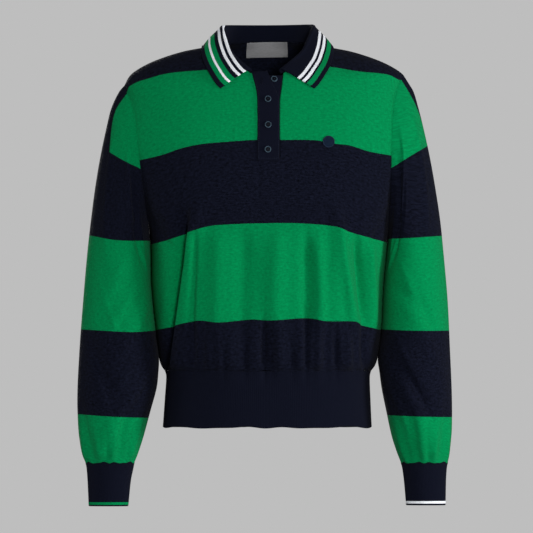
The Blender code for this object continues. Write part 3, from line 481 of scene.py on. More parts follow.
NAVY = (0.0035, 0.0043, 0.0098)
GREEN = (0.0, 0.165, 0.05)
WALE, COURSE = 1.5, 1.1  # between the fine knit's columns and rows of stitches
LEG_LEAN, LEG_DEPTH = 0.55, 0.3
STITCH_DEPTH = 0.22
NOISE_RANGE = 0.3, 0.7  # most of a noise lies between these
MOTTLES = ((4.0, 1.0, 0.35), (2.4, 0.35, 0.25), (2.0, 4.0, 0.4))  # size, flatness, share in the sum
NAVY_MOTTLE, GREEN_MOTTLE = 0.95, 0.34
LOOP_RISE, EDGE_SOFT = 0.25, 0.15  # the loops' wave along a band's edge, and half the edge's blur

striped_knit, tree = new_tree("striped_knit")
place, across, along = knit_wires(tree)
into_green = Wire.node(tree, "ShaderNodeAttribute", {"attribute_name": "green_mm"}, output=2)
looped = into_green + waves(across, WALE) * LOOP_RISE
edge_ends = {"Value": looped, "From Min": -EDGE_SOFT, "From Max": EDGE_SOFT}
is_green = Wire.node(tree, "ShaderNodeMapRange", None, edge_ends)
cloudy = 0.0
for size, flat, share in MOTTLES:
    cloudy = cloudy + mottle(tree, place, size, flat=flat) * share
mottled_navy, mottled_green = shade(tree, NAVY, cloudy, NAVY_MOTTLE), shade(tree, GREEN, cloudy, GREEN_MOTTLE)
banded = colour_mix(tree, is_green, mottled_navy, mottled_green)
knit_finish(banded, stitches(across, along, WALE, COURSE), tree)


def course_and_green(face, x, height):
    """The course through each place, as a height on the centre line, and the distance into a green band."""
    lines = [np.full_like(height, WAIST)] + [smooth(edge, x) for edge in BAND_EDGES[face]]
    lines.append(np.full_like(height, TOP_COURSE))
    centre = [WAIST] + [smooth(edge, 0.0) for edge in BAND_EDGES[face]] + [TOP_COURSE]
    course = height.copy()
    for i in range(len(lines) - 1):
        inside = (height >= lines[i]) & (height <= lines[i + 1])
        share = (height - lines[i]) / (lines[i + 1] - lines[i])
        course = np.where(inside, between(centre[i], centre[i + 1], share), course)
    bands = [np.minimum(lines[i + 1] - height, height - lines[i]) for i in (1, 3)]
    return course, np.maximum(*bands)


def panel_places(face, side):
    """x and height of the fine grid of one half of a panel, from the centre to its edge, low row first."""
    inner_edge = NOTCH_EDGE[side] if face == FRONT else CENTRE_EDGE
    count = COLUMN_COUNT[face]
    column = np.linspace(0, count, count * FINE_COLUMNS[face] + 1)[None, :]
    row = np.linspace(0, LOW_COUNT + HIGH_COUNT, (LOW_COUNT + HIGH_COUNT) * FINE_ROWS + 1)[:, None]
    low = np.sin(np.pi / 2 * column / count) ** COLUMN_EASE
    top_edge = edge_across(side, ARMHOLE_TOP[side])
    neck_start = abs(smooth(inner_edge, 0.0))
    at_neck = column <= NECK_COUNT
    over = (column - NECK_COUNT) / (count - NECK_COUNT)
    x_top = np.where(
        at_neck,
        between(neck_start, NECK_ACROSS, column / NECK_COUNT),
        between(NECK_ACROSS, top_edge, over),
    )
    height_top = np.where(at_neck, smooth(NECK_EDGE[face], x_top), shoulder_height(x_top))
    height_top[:, -1] = ARMHOLE_TOP[side]
    blend = (1 - np.cos(np.pi * np.maximum(row - LOW_COUNT, 0.0) / HIGH_COUNT)) / 2
    low_height = np.interp(row, np.arange(LOW_COUNT + 1), LOW_ROWS)
    height = np.where(row <= LOW_COUNT, low_height, between(UNDERARM, height_top, blend))
    start, wide = abs(smooth(inner_edge, height)), edge_across(side, height)
    top_share = (x_top - neck_start) / (top_edge - neck_start)
    x = between(between(start, wide, low), between(start, wide, top_share), eased(blend))
    x[-1] = x_top[0]
    return side * x, height


def armhole_ways(side, points, own):
    """The way out at the armhole seam: square to the shoulder line at its top, the cloth's own lower down."""
    up = armhole_share(side, points[..., 2])[..., None]
    top, step = ARMHOLE_TOP[side], 4.0
    fall = smooth(SHOULDER, top) - smooth(SHOULDER, top + step)
    shared = unit(np.array((side * step, 0.0, fall))) * np.maximum(up, 0.0)
    shared = shared + points[..., 1:2] / ARMHOLE_DEPTH * np.array((0.0, 1.0, 0.0))
    shared = unit(shared + np.minimum(up, 0.0) * np.array((0.0, 0.0, 1.0)))
    return unit(between(shared, own, (1 - up) / 2))


def knit_panel(name, face):
    """The fine shell of a panel, on the CAD panel's form, with its folds and its colour bands."""
    x_left, height_left = panel_places(face, LEFT)
    x_right, height_right = panel_places(face, RIGHT)
    x_left, height_left = x_left[:, ::-1], height_left[:, ::-1]
    if face == FRONT:
        share = np.linspace(0, 1, PLACKET_COLUMNS + 1)[1:-1]
        x_middle = between(x_left[:, -1:], x_right[:, :1], share)
        height_middle = between(height_left[:, -1:], height_right[:, :1], share)
    else:
        x_left, height_left = x_left[:, :-1], height_left[:, :-1]
        x_middle, height_middle = x_left[:, :0], height_left[:, :0]
    x = np.concatenate((x_left, x_middle, x_right), axis=1)
    height = np.concatenate((height_left, height_middle, height_right), axis=1)
    cut_columns = np.arange(x.shape[1] - 1)
    cut_out = (cut_columns >= x_left.shape[1] - 1) & (cut_columns < x.shape[1] - x_right.shape[1])
    skip = cut_out[None, :] & (height[:-1, x_left.shape[1] :][:, :1] >= NOTCH_BOTTOM) & (face == FRONT)
    if face == BACK:
        x, height = x[:, ::-1], height[:, ::-1]
        skip = skip[:, ::-1]
    points = form_point(face, x, height)
    rows, columns = x.shape
    from_edge = np.minimum(np.arange(columns), columns - 1 - np.arange(columns)) / FINE_COLUMNS[face]
    from_top = np.arange(rows)[::-1] / FINE_ROWS
    calm = np.minimum(from_edge / CALM_STEPS, 1)[None, :] * np.minimum(from_top / CALM_STEPS, 1)[:, None]
    points = points + grid_ways(points) * (all_folds(face, x, height) * calm)[..., None]
    ways = grid_ways(points)
    for column in (0, -1):
        side = LEFT if x[0, column] < 0 else RIGHT
        low = LOW_COUNT * FINE_ROWS + 1
        ways[:low, column] = flattened(ways[:low, column], 1)
        ways[low:, column] = armhole_ways(side, points[low:, column], ways[low:, column])
    ways[0] = flattened(ways[0], 2)
    at_shoulder = abs(x[-1]) >= NECK_ACROSS - EDGE_SLACK
    ways[-1, at_shoulder] = flattened(ways[-1, at_shoulder], 1)
    for column in (0, -1):
        side = LEFT if x[0, column] < 0 else RIGHT
        ways[-1, column] = armhole_ways(side, points[-1, column], ways[-1, column])
    at_seam = abs(points[..., 1]) < SEAM_GAP / 2
    points[..., 1][at_seam] = face * SEAM_GAP / 2
    course, green = course_and_green(face, x, height)
    across = lengths_along(points, 1)
    across = across - across[:, across.shape[1] // 2][:, None]
    seam_edges[face] = points, ways, green
    return shell(name, points, ways, CLOTH, across, course, green, skip=skip)


seam_edges = {}
for name, node, face, flat, area in (
    ("front_knit", "front_panel", FRONT, (0.46, 0.59), 0.222),
    ("back_knit", "back_panel", BACK, (0.46, 0.60), 0.232),
):
    piece = knit_panel(name, face)
    piece.data.materials.append(striped_knit)
    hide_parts(node)
    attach(piece, "root")

# The sleeves: the same knit, full and long, closed under the arm. Each is linked into its armhole, rests on
# the body's side below it, and is gathered into its cuff.
SLEEVE_OUTER = {
    LEFT: (  # height, across
        (-58, 220.5), (-68, 229), (-93, 241), (-118, 247.5), (-167, 258), (-217, 266.5), (-267, 273),
        (-316, 278.5), (-391, 285), (-465, 290.5), (-539, 294), (-589, 292.5), (-614, 289.5),
        (-631, 286), (-643, 281),
    ),
    RIGHT: (
        (-42, 211), (-56, 220), (-68, 227), (-93, 234.5), (-118, 241), (-167, 252), (-217, 261),
        (-267, 268.5), (-316, 273.5), (-391, 280), (-465, 283.5), (-539, 286.5), (-589, 286.5),
        (-614, 284.5), (-631, 282.5), (-643, 280),
    ),
}
SLEEVE_INNER = {
    LEFT: (
        (-303, 180.4), (-315, 180.4), (-370, 178.9), (-437, 172.5), (-480, 167.4), (-502, 168.2),
        (-527, 171), (-564, 181), (-601, 191), (-626, 199), (-643, 205.5),
    ),
    RIGHT: (
        (-303, 186.4), (-315, 185.8), (-370, 180.5), (-437, 177.5), (-480, 171.5), (-502, 174.2),
        (-527, 177.5), (-564, 185), (-601, 193), (-626, 201), (-643, 207.5),
    ),
}
SLEEVE_RINGS = (  # share of the way down the outer line, height on the inner line, half depth
    (0.000, -303, 56), (0.032, -307, 58.5), (0.070, -312, 61), (0.114, -319, 63), (0.164, -328, 65),
    (0.220, -338, 66.5), (0.278, -350, 67.5), (0.338, -365, 68), (0.400, -382, 68), (0.462, -401, 67.5),
    (0.524, -421, 67), (0.586, -442, 66.5), (0.648, -465, 66), (0.708, -489, 66), (0.766, -514, 65.5),
    (0.820, -539, 64), (0.868, -563, 61), (0.911, -586, 56.5), (0.947, -606, 50), (0.975, -624, 42),
    (0.991, -636, 35), (1.000, -643, 31),
)
SEAM_RINGS = 7  # over which a sleeve's form changes to the armhole's
TOUCH_GAP, TOUCH_END = 0.15, -478.0  # from the side seam down to this height the sleeve rests on the body
ARM_SWING = ((-643.0, -16.0), (-460.0, -4.0), (-300.0, 4.0), (-160.0, 3.0), (-40.0, 0.0))  # height, y
SLEEVE_FOLDS = {
    LEFT: (  # share above, turn above, share below, turn below, half width, rise
        (0.10, 40, 0.40, 62, 10, 2.8), (0.05, 95, 0.26, 126, 13, -4.5), (0.02, 62, 0.30, 150, 9, 3),
        (0.40, 118, 0.62, 60, 12, -3.5), (0.50, 140, 0.72, 86, 12, 3.5),
        (0.66, 44, 0.86, 100, 12, -3.5), (0.80, 120, 0.97, 72, 12, 3), (0.86, 30, 1.00, 52, 9, -4),
        (0.86, 110, 1.00, 112, 9, -4), (0.86, 160, 1.00, 150, 9, 3), (0.10, 300, 0.42, 282, 12, 3),
        (0.45, 236, 0.66, 290, 12, -3.5), (0.62, 300, 0.84, 250, 12, 3.5),
        (0.86, 268, 1.00, 262, 10, -4), (0.86, 318, 1.00, 316, 10, -3),
    ),
    RIGHT: (
        (0.12, 36, 0.38, 58, 10, 2.5), (0.05, 92, 0.27, 126, 13, -4), (0.02, 58, 0.30, 148, 9, 3),
        (0.42, 128, 0.60, 70, 12, -3), (0.54, 96, 0.76, 50, 12, 3), (0.70, 130, 0.88, 66, 12, -4),
        (0.78, 110, 0.97, 84, 11, 3), (0.86, 34, 1.00, 48, 9, -3.5), (0.86, 104, 1.00, 104, 9, -4),
        (0.86, 156, 1.00, 148, 9, 3), (0.12, 304, 0.40, 286, 12, 3), (0.44, 240, 0.64, 286, 12, -3.5),
        (0.60, 306, 0.82, 256, 12, 3.5), (0.86, 272, 1.00, 264, 10, -4), (0.86, 322, 1.00, 312, 10, -3),
    ),
}
FOLD_SHARE_FADE = 0.07  # of the sleeve's length, at a fold's ends
UNDERARM_CALM, CALM_FADE = 20.0, 30.0  # degrees beside the inner line: without folds, and fading in
SLEEVE_SIDES, SLEEVE_FINE = 132, 8

# Colour bands of the sleeves. The first green is a wedge between two slanting lines, the others are level
WEDGE_TOP = {  # height, across: the wedge's upper edge
    LEFT: ((-58, 208), (-72, 218), (-94, 233), (-113.5, 239), (-137, 242), (-175, 245)),
    RIGHT: ((-42, 203), (-64, 217), (-86, 229), (-111, 239), (-137, 247), (-175, 254)),
}
WEDGE_FOOT = {  # across, height: the wedge's lower edge
    LEFT: ((180, -193), (196.5, -187), (225, -173), (240, -164), (262, -152)),
    RIGHT: ((180, -191), (192.5, -186), (220, -169), (247, -153), (262, -145)),
}
SLEEVE_BANDS = {  # across, height: the upper and lower edge of the middle green, the upper edge of the last
    LEFT: (
        ((182, -299), (233, -298), (273, -291)),
        ((174, -438), (209, -440), (287, -436)),
        ((184, -573), (240, -571), (291, -567.5)),
    ),
    RIGHT: (
        ((189, -296), (231, -294), (272, -291)),
        ((177, -436), (230, -438), (282, -438)),
        ((186, -569), (240, -571), (287, -572)),
    ),
}
SLEEVE_CREASES = {  # the sharper and smaller folds that only the fine cloth has
    LEFT: (
        (0.03, 84, 0.24, 120, 5, -3), (0.06, 74, 0.22, 98, 5, 2.2), (0.10, 120, 0.30, 150, 6, 2),
        (0.30, 110, 0.44, 84, 6, 1.6), (0.46, 128, 0.64, 82, 6, -2), (0.52, 60, 0.66, 96, 6, 1.6),
        (0.62, 132, 0.80, 90, 6, 2.2), (0.74, 60, 0.90, 96, 6, -2.4), (0.78, 140, 0.92, 108, 6, -2),
        (0.93, 22, 1.00, 26, 4.5, 2.2), (0.92, 62, 1.00, 66, 4.5, 2.4), (0.94, 82, 1.00, 84, 4, -2.2),
        (0.92, 98, 1.00, 98, 4.5, 2.2), (0.93, 130, 1.00, 128, 4.5, -2.4), (0.94, 146, 1.00, 142, 4, 2),
        (0.93, 206, 1.00, 208, 4.5, -2), (0.93, 240, 1.00, 238, 4.5, 2.2),
        (0.92, 286, 1.00, 290, 4.5, -2.2), (0.93, 340, 1.00, 338, 4.5, 2), (0.30, 250, 0.52, 280, 6, 2),
        (0.58, 300, 0.76, 262, 6, -2),
    ),
    RIGHT: (
        (0.03, 82, 0.24, 118, 5, -2.6), (0.06, 70, 0.22, 96, 5, 2), (0.10, 122, 0.30, 150, 6, 2),
        (0.34, 116, 0.50, 92, 6, 1.6), (0.50, 84, 0.66, 56, 6, -1.8), (0.60, 128, 0.74, 96, 6, 1.8),
        (0.72, 112, 0.88, 72, 6, -2.4), (0.80, 140, 0.94, 108, 6, 2), (0.93, 20, 1.00, 24, 4.5, 2.2),
        (0.92, 60, 1.00, 64, 4.5, 2.4), (0.94, 78, 1.00, 80, 4, -2.2), (0.92, 94, 1.00, 92, 4.5, 2.2),
        (0.93, 126, 1.00, 124, 4.5, -2.4), (0.94, 142, 1.00, 140, 4, 2),
        (0.93, 204, 1.00, 206, 4.5, -2), (0.93, 240, 1.00, 236, 4.5, 2.2),
        (0.92, 290, 1.00, 292, 4.5, -2.2), (0.93, 342, 1.00, 340, 4.5, 2), (0.28, 252, 0.50, 284, 6, 2),
        (0.56, 296, 0.76, 258, 6, -2),
    ),
}


def sleeve_folds(side, share, turn, reach):
    """Sum of a sleeve's folds at shares of its length and turns round it, whose degree is reach long."""
    rise = np.zeros(np.broadcast(share, turn).shape)
    for top, turn_top, low, turn_low, half_width, high in SLEEVE_FOLDS[side] + SLEEVE_CREASES[side]:
        middle = between(turn_top, turn_low, (share - top) / (low - top))
        away = ((turn - middle + 180.0) % 360.0 - 180.0) * reach
        fade = eased((share - top + FOLD_SHARE_FADE) / (2 * FOLD_SHARE_FADE))
        if low < 1.0:
            fade = fade * eased((low + FOLD_SHARE_FADE - share) / (2 * FOLD_SHARE_FADE))
        rise += high * fade * np.exp(-((away / half_width) ** 2))
    return rise


def sleeve_form(side):
    """The fine rings of a sleeve, the wrist's first, with each ring's share of the length and turns."""
    ring_table = [(i, *row) for i, row in enumerate(SLEEVE_RINGS)]
    ring = np.linspace(0, len(SLEEVE_RINGS) - 1, (len(SLEEVE_RINGS) - 1) * SLEEVE_FINE + 1)[::-1]
    share, inner_height, half_depth = (smooth(ring_table, ring, column)[:, None] for column in (1, 2, 3))
    turn = np.linspace(0, 2 * np.pi, SLEEVE_SIDES, endpoint=False)[None, :]
    if side == RIGHT:
        turn = np.roll(turn[:, ::-1], 1, axis=1)
    outer_height = between(ARMHOLE_TOP[side], SLEEVE_INNER[side][-1][0], share)
    outer, inner = smooth(SLEEVE_OUTER[side], outer_height), smooth(SLEEVE_INNER[side], inner_height)
    touching = edge_across(side, inner_height) + TOUCH_GAP
    inner = np.where(inner_height > TOUCH_END, np.minimum(inner, touching), inner)
    swing_place = (1 + np.cos(turn)) / 2
    x = side * between(inner, outer, swing_place)
    height = between(inner_height, outer_height, swing_place)
    points = np.stack((x, -half_depth * np.sin(turn), height), axis=-1)
    seam_height = between(UNDERARM, ARMHOLE_TOP[side], swing_place)
    seam_x = side * (edge_across(side, seam_height) + SEAM_GAP + TOUCH_GAP)
    face = np.where(np.sin(turn) >= -1e-9, FRONT, BACK)
    seam = np.stack((seam_x, face * armhole_spread(side, seam_height), seam_height), axis=-1)
    weight = np.clip(1 - ring / SEAM_RINGS, 0, 1)[:, None, None] ** 2
    points = points + (seam - points[-1:]) * weight
    points[..., 1] += smooth(ARM_SWING, points[..., 2]) * eased(ring / SEAM_RINGS)[:, None]
    return points, ring[:, None], share, np.degrees(turn)


def sleeve_green(side, points):
    """Distance into the green bands of a sleeve."""
    across, height = abs(points[..., 0]), points[..., 2]
    wedge = np.minimum(smooth(WEDGE_TOP[side], height) - across, height - smooth(WEDGE_FOOT[side], across))
    upper, lower, last = (smooth(edge, across) for edge in SLEEVE_BANDS[side])
    middle = np.minimum(upper - height, height - lower)
    return np.maximum(np.maximum(wedge, middle), last - height)


def gathered(points, top, deep):
    """Waves a tube's end up and down, fading over a distance from it."""
    middle = points.mean(axis=1, keepdims=True)
    round_tube = np.arctan2(points[..., 1] - middle[..., 1], points[..., 0] - middle[..., 0])
    near = eased(1 - abs(points[..., 2] - top) / deep)
    wave = 0.0
    for high, count, start in END_WAVES:
        wave = wave + high * np.sin(count * round_tube + start)
    points = points.copy()
    points[..., 2] += wave * near
    return points


END_WAVES = ((0.8, 9, 0.4), (0.6, 14, 2.0), (0.5, 5, 4.1))  # rise, waves round the tube, start
WRIST_FADE = 14.0
WRIST_TOP = SLEEVE_INNER[LEFT][-1][0]
wrist_edges = {}
for name, node, side in (
    ("sleeve_left_knit", "sleeve_left", LEFT),
    ("sleeve_right_knit", "sleeve_right", RIGHT),
):
    points, ring, share, turn = sleeve_form(side)
    calm = np.minimum(np.minimum(ring, ring[0] - ring) / CALM_STEPS, 1.0)
    middle = points.mean(axis=1, keepdims=True)
    reach = np.pi * np.linalg.norm(points[:, :1] - middle, axis=-1) / 180.0
    calm = calm * eased((abs(turn - 180.0) - UNDERARM_CALM) / CALM_FADE)
    rise = sleeve_folds(side, share, turn, reach) * calm
    points = gathered(points + grid_ways(points, wrap=True) * rise[..., None], WRIST_TOP, WRIST_FADE)
    ways = grid_ways(points, wrap=True)
    ways[0] = flattened(ways[0], 2)
    ways[-1] = armhole_ways(side, points[-1], ways[-1])
    closed = np.concatenate((points, points[:, :1]), axis=1)
    across, along = lengths_along(closed, 1), lengths_along(closed, 0)
    piece = shell(name, points, ways, CLOTH, across, along, sleeve_green(side, points), wrap=True)
    wrist_edges[side] = points[0], ways[0]
    piece.data.materials.append(striped_knit)
    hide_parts(node)
    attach(piece, "root")

# The cuffs and the waistband: tubes of fine rib, knitted navy, linked to the gathered sleeves and body.
# Each cuff has one thin tipping line just above its end, green on one and white on the other.
RIB = 2.2  # thickness of the rib knit
RIB_PITCH, RIB_RISE, RIB_COURSE = 2.2, 0.16, 1.0
RIB_POINTS = 4  # round the tube, to each rib
CUFF_RIBS, CUFF_RINGS = 90, 24
BAND_RIBS, BAND_RINGS = 380, 28
CUFF = {
    LEFT: (  # height, outer across, inner across, half depth
        (-643.4, 281, 205.5, 31), (-651, 279.5, 207, 29.5), (-670, 278, 210.9, 28.4),
        (-710, 276.2, 215, 27),
    ),
    RIGHT: (
        (-643.4, 280, 207.5, 31), (-651, 278.5, 209.5, 29.5), (-670, 277.3, 212.1, 28.4),
        (-708.5, 276.6, 215.5, 27),
    ),
}
TIPPING = {LEFT: (2.2, 6.3), RIGHT: (2.8, 6.6)}  # from the cuff's end: where its line starts and ends
WAISTBAND = (  # height, left half width, right half width, front depth, back depth
    (-500.35, 158, 161, 103, 99), (-509, 156.2, 159.2, 102, 98), (-548, 158.6, 160.4, 103, 99),
    (-588, 161.4, 162.2, 104.5, 100.5),
)
BAND_ROUNDNESS = 2.35
PUCKER_FADE, HEM_FADE = 30.0, 16.0
SIDE_CALM = 20.0  # the puckers fade in over this distance from the side seams
WHITE = (0.66, 0.68, 0.72)


def rib_tube(name, rings):
    """A shell round rings, the lowest first, its ribs running up it."""
    ways = grid_ways(rings, wrap=True)
    ways[0], ways[-1] = flattened(ways[0], 2), flattened(ways[-1], 2)
    rib_wave = np.cos(2 * np.pi / RIB_POINTS * np.arange(rings.shape[1]))
    closed = np.concatenate((rings, rings[:, :1]), axis=1)
    rings = rings + ways * (RIB_RISE * rib_wave)[None, :, None]
    return shell(name, rings, ways, RIB, lengths_along(closed, 1), lengths_along(closed, 0), wrap=True)


def rib_material(name, line, line_colour):
    """Navy rib with a thin line of another colour between two distances from the tube's end."""
    material, tree = new_tree(name)
    place, across, along = knit_wires(tree)
    plain = NAVY
    if line:
        low, high = line
        on_line = (along.math("GREATER_THAN", low * MM)) * (along.math("LESS_THAN", high * MM))
        plain = colour_mix(tree, on_line, NAVY, line_colour)
    cloudy = mottle(tree, place, 3.0, flat=0.4)
    knit_finish(shade(tree, plain, cloudy, 0.12), stitches(across, along, RIB_PITCH / 2, RIB_COURSE), tree)
    return material


for name, node, side, line_colour in (
    ("cuff_left_rib", "cuff_left", LEFT, GREEN),
    ("cuff_right_rib", "cuff_right", RIGHT, WHITE),
):
    heights = np.linspace(CUFF[side][-1][0], CUFF[side][0][0], CUFF_RINGS)[:, None]
    outer, inner, half_depth = (smooth(CUFF[side], heights, column) for column in (1, 2, 3))
    turn = np.linspace(0, 2 * np.pi, RIB_POINTS * CUFF_RIBS, endpoint=False)[None, :]
    x = side * (outer + inner) / 2 + (outer - inner) / 2 * np.cos(turn)
    y = smooth(ARM_SWING, heights) + half_depth * np.sin(turn)
    rings = gathered(np.stack((x, y, heights + 0.0 * turn), axis=-1), CUFF[side][0][0], WRIST_FADE)
    piece = rib_tube(name, rings)
    piece.data.materials.append(rib_material(name, TIPPING[side], line_colour))
    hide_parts(node)
    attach(piece, "root")

heights = np.linspace(WAISTBAND[-1][0], WAISTBAND[0][0], BAND_RINGS)[:, None]
turn = np.linspace(0, 2 * np.pi, RIB_POINTS * BAND_RIBS, endpoint=False)[None, :]
power = 2 / BAND_ROUNDNESS
x = np.sign(np.cos(turn)) * abs(np.cos(turn)) ** power
y = np.sign(np.sin(turn)) * abs(np.sin(turn)) ** power
x = x * np.where(x > 0, smooth(WAISTBAND, heights, 2), smooth(WAISTBAND, heights, 1))
y = y * np.where(y > 0, smooth(WAISTBAND, heights, 4), smooth(WAISTBAND, heights, 3))
rings = np.stack((x, y, heights + 0.0 * turn), axis=-1)
puckers = np.where(y < 0, all_folds(FRONT, x, WAIST + 0.0 * x), all_folds(BACK, x, WAIST + 0.0 * x))
from_side = np.clip((WAISTBAND[0][1] - abs(x)) / SIDE_CALM, 0.0, 1.0)
puckers = puckers * from_side * eased((heights - WAIST + PUCKER_FADE) / PUCKER_FADE)
rings = gathered(rings + grid_ways(rings, wrap=True) * puckers[..., None], WAISTBAND[-1][0], HEM_FADE)
piece = rib_tube("waistband_rib", rings)
piece.data.materials.append(rib_material("waistband_rib", None, NAVY))
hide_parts("waistband")
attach(piece, "root")

# The linking seams: one low raised line of chained loops over each join of the knitted pieces, in the colours
# of the bands that it crosses. The one at the neck runs inside, above the label.
SEAM_HALF, SEAM_RISE, SEAM_STEP, SEAM_ROW, CHAIN = 1.1, 0.4, 0.8, 0.7, 2.4
CHAIN_SWELL = 0.2
SEAM_PROFILE = ((-1, -1.2), (-0.8, 0.3), (0, 1), (0.8, 0.3), (1, -1.2))  # shares of the half width and rise
ALL_NAVY = -9.0  # a seam's distance into a green band where none is near
COLLAR_HIDES = 14.0  # of the shoulder seam, from the neck
NECK_SEAM_LIFT = 1.0


def seam_line(name, path, ways, green=ALL_NAVY, closed=False, half_width=SEAM_HALF, rise=SEAM_RISE):
    """A raised line along a path on the cloth, in the striped knit's colours. green is as for shell."""
    green = np.broadcast_to(green, len(path))
    if closed:
        path, ways, green = (np.concatenate((values, values[:1])) for values in (path, ways, green))
    length = lengths_along(path, 0)
    at = np.linspace(0.0, length[-1], int(length[-1] / SEAM_STEP) + 1)
    at = at[:-1] if closed else at
    points = np.stack([np.interp(at, length, path[:, axis]) for axis in range(3)], axis=-1)
    ways = unit(np.stack([np.interp(at, length, ways[:, axis]) for axis in range(3)], axis=-1))
    green = np.interp(at, length, green)
    ahead = np.gradient(points, axis=0)
    if closed:
        ahead = np.roll(points, -1, axis=0) - np.roll(points, 1, axis=0)
    aside = unit(np.cross(ahead, ways))
    loops = (1 + CHAIN_SWELL * np.sin(2 * np.pi * at / CHAIN))[:, None]
    rows = [points + (aside * half_width * across + ways * rise * up) * loops for across, up in SEAM_PROFILE]
    index = np.arange(len(rows) * len(at)).reshape(len(rows), len(at))
    after = np.roll(index, -1, axis=1) if closed else index[:, 1:]
    index_here = index if closed else index[:, :-1]
    sides = (index_here, np.roll(index_here, -1, axis=0), np.roll(after, -1, axis=0), after)
    faces = np.stack(sides, axis=-1).reshape(-1, 4).tolist()
    if not closed:
        faces += [index[:, 0].tolist(), index[::-1, -1].tolist()]
    mesh = bpy.data.meshes.new(name)
    mesh.from_pydata((np.concatenate(rows) * MM).tolist(), [], faces)
    place = np.stack(np.broadcast_arrays(at[None, :], SEAM_ROW * np.arange(len(rows))[:, None]), axis=-1)
    corner = np.empty(len(mesh.loops), int)
    mesh.loops.foreach_get("vertex_index", corner)
    spots = place.reshape(-1, 2)[corner] * MM
    mesh.uv_layers.new(name="knit").data.foreach_set("uv", spots.reshape(-1))
    values = np.tile(green, len(rows))
    mesh.attributes.new("green_mm", "FLOAT", "POINT").data.foreach_set("value", values)
    mesh.shade_smooth()
    mesh.materials.append(striped_knit)
    piece = placed(name, mesh)
    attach(piece, "root")


front, front_ways, front_green = seam_edges[FRONT]
back, back_ways, back_green = seam_edges[BACK]
underarm_row = LOW_COUNT * FINE_ROWS
for word, side in (("left", LEFT), ("right", RIGHT)):
    on_front, on_back = (0, -1) if side == LEFT else (-1, 0)
    joined = []
    for of_front, of_back in ((front, back), (front_ways, back_ways), (front_green, back_green)):
        up_front, down_back = of_front[underarm_row:, on_front], of_back[underarm_row + 1 : -1, on_back][::-1]
        joined.append(np.concatenate((up_front, down_back)))
    seam_line(f"armhole_seam_{word}", *joined, closed=True)
    low = slice(0, underarm_row + 1)
    side_edge = [of_front[low, on_front] for of_front in (front, front_ways, front_green)]
    seam_line(f"side_seam_{word}", *side_edge)
    on_shoulder = (side * front[-1, :, 0]) >= NECK_ACROSS + COLLAR_HIDES
    shoulder_ways = flattened(front_ways[-1, on_shoulder], 1)
    seam_line(f"shoulder_seam_{word}", front[-1, on_shoulder], shoulder_ways, front_green[-1, on_shoulder])
    ring, ring_ways = wrist_edges[side]
    seam_line(f"wrist_seam_{word}", ring, ring_ways, closed=True, half_width=0.8)
waist, waist_ways = np.concatenate((front[0], back[0])), np.concatenate((front_ways[0], back_ways[0]))
seam_line("waist_seam", waist, waist_ways, closed=True, half_width=1.0, rise=0.35)
at_neck = abs(back[-1, :, 0]) <= NECK_ACROSS
neck_ways = -back_ways[-1, at_neck]
neck_inside = back[-1, at_neck] + neck_ways * CLOTH + np.array((0.0, 0.0, NECK_SEAM_LIFT))
seam_line("neck_seam", neck_inside, neck_ways, half_width=1.5, rise=0.6)

# The collar: one dense knitted strip, folded over at the neck, with tipping stripes along its outer edge
# that differ on its two halves. It is linked to the neck edge and its ends meet the placket.
COLLAR = {
    LEFT: (  # neck turn, fold x y z, edge x y z
        (0, 0, 57, 35.2, 0, 77, -20), (17, 23, 54.5, 35.2, 30, 75, -20),
        (36, 45, 46, 35.2, 60, 66, -18), (56, 59.5, 29, 35, 83, 46, -11), (77, 67, 9, 34, 97, 18, 1),
        (98, 66.5, -7, 27, 101.5, -12, -2), (116, 61.5, -24, 13, 101.5, -36, -13),
        (131, 53.5, -41, -5, 95, -58, -30), (146, 40.5, -55.5, -19.5, 85, -72, -48),
        (160, 23.5, -68, -33.6, 73, -82, -65.5),
    ),
    RIGHT: (
        (0, 0, 57, 35.2, 0, 77, -20), (17, 23, 54.5, 35.4, 30, 75, -20),
        (36, 45.5, 46, 35.8, 60, 66, -18), (56, 61.5, 29, 36, 84, 46, -11),
        (77, 69.5, 9, 35, 98, 18, 1), (98, 67.5, -7, 27.5, 103, -12, 0),
        (116, 61.5, -24, 13.5, 103, -36, -12), (131, 53, -41, -4, 97, -58, -30),
        (146, 37.5, -56, -18.5, 86.5, -72, -48), (163, 18.5, -68.5, -33.6, 74.5, -82, -65.5),
    ),
}
COLLAR_CLOTH, COLLAR_GAP = 1.8, 0.45
COLLAR_BEND = 2.6  # radius of the fold
COLLAR_REST = 2.4  # from the middle of the fall's cloth to the panels under it
REST_TOP = 0.5  # its places on the panels stay this far below the shoulder line
COLLAR_BULGE = 2.5
COLLAR_FLAT = (0.55, 0.9)  # the shares of its length between which the fall's bulge dies away
COLLAR_STEPS, STAND_ROWS, BEND_ROWS, FALL_ROWS, SETTLING = 70, 12, 10, 30, 12
FALL_START = 0.03
REST_FROM = 120.0  # degrees round the fold after which its cloth lies on the panels
TIP_ROUND = (0.93, 0.82, 0.2)  # where a tip's rounding starts along and across the collar, and how deep it is
COLLAR_WALE, COLLAR_COURSE, COLLAR_LOOPS = 1.2, 0.9, 0.2
STRIPES_DEEP = 90.0  # all the depth that the stripes are stated for
COLLAR_STRIPES = {  # colours from the outer edge inwards, each to a distance in millimetres
    LEFT: (
        (7.6, "navy"), (15.4, "green"), (19.2, "white"), (27.4, "green"), (33.8, "navy"),
        (38.8, "white"), (43.6, "navy"), (49.2, "white"), (STRIPES_DEEP, "navy"),
    ),
    RIGHT: (
        (6.9, "navy"), (14.6, "green"), (17.6, "navy"), (22.6, "white"), (26.4, "navy"),
        (31.4, "white"), (STRIPES_DEEP, "navy"),
    ),
}


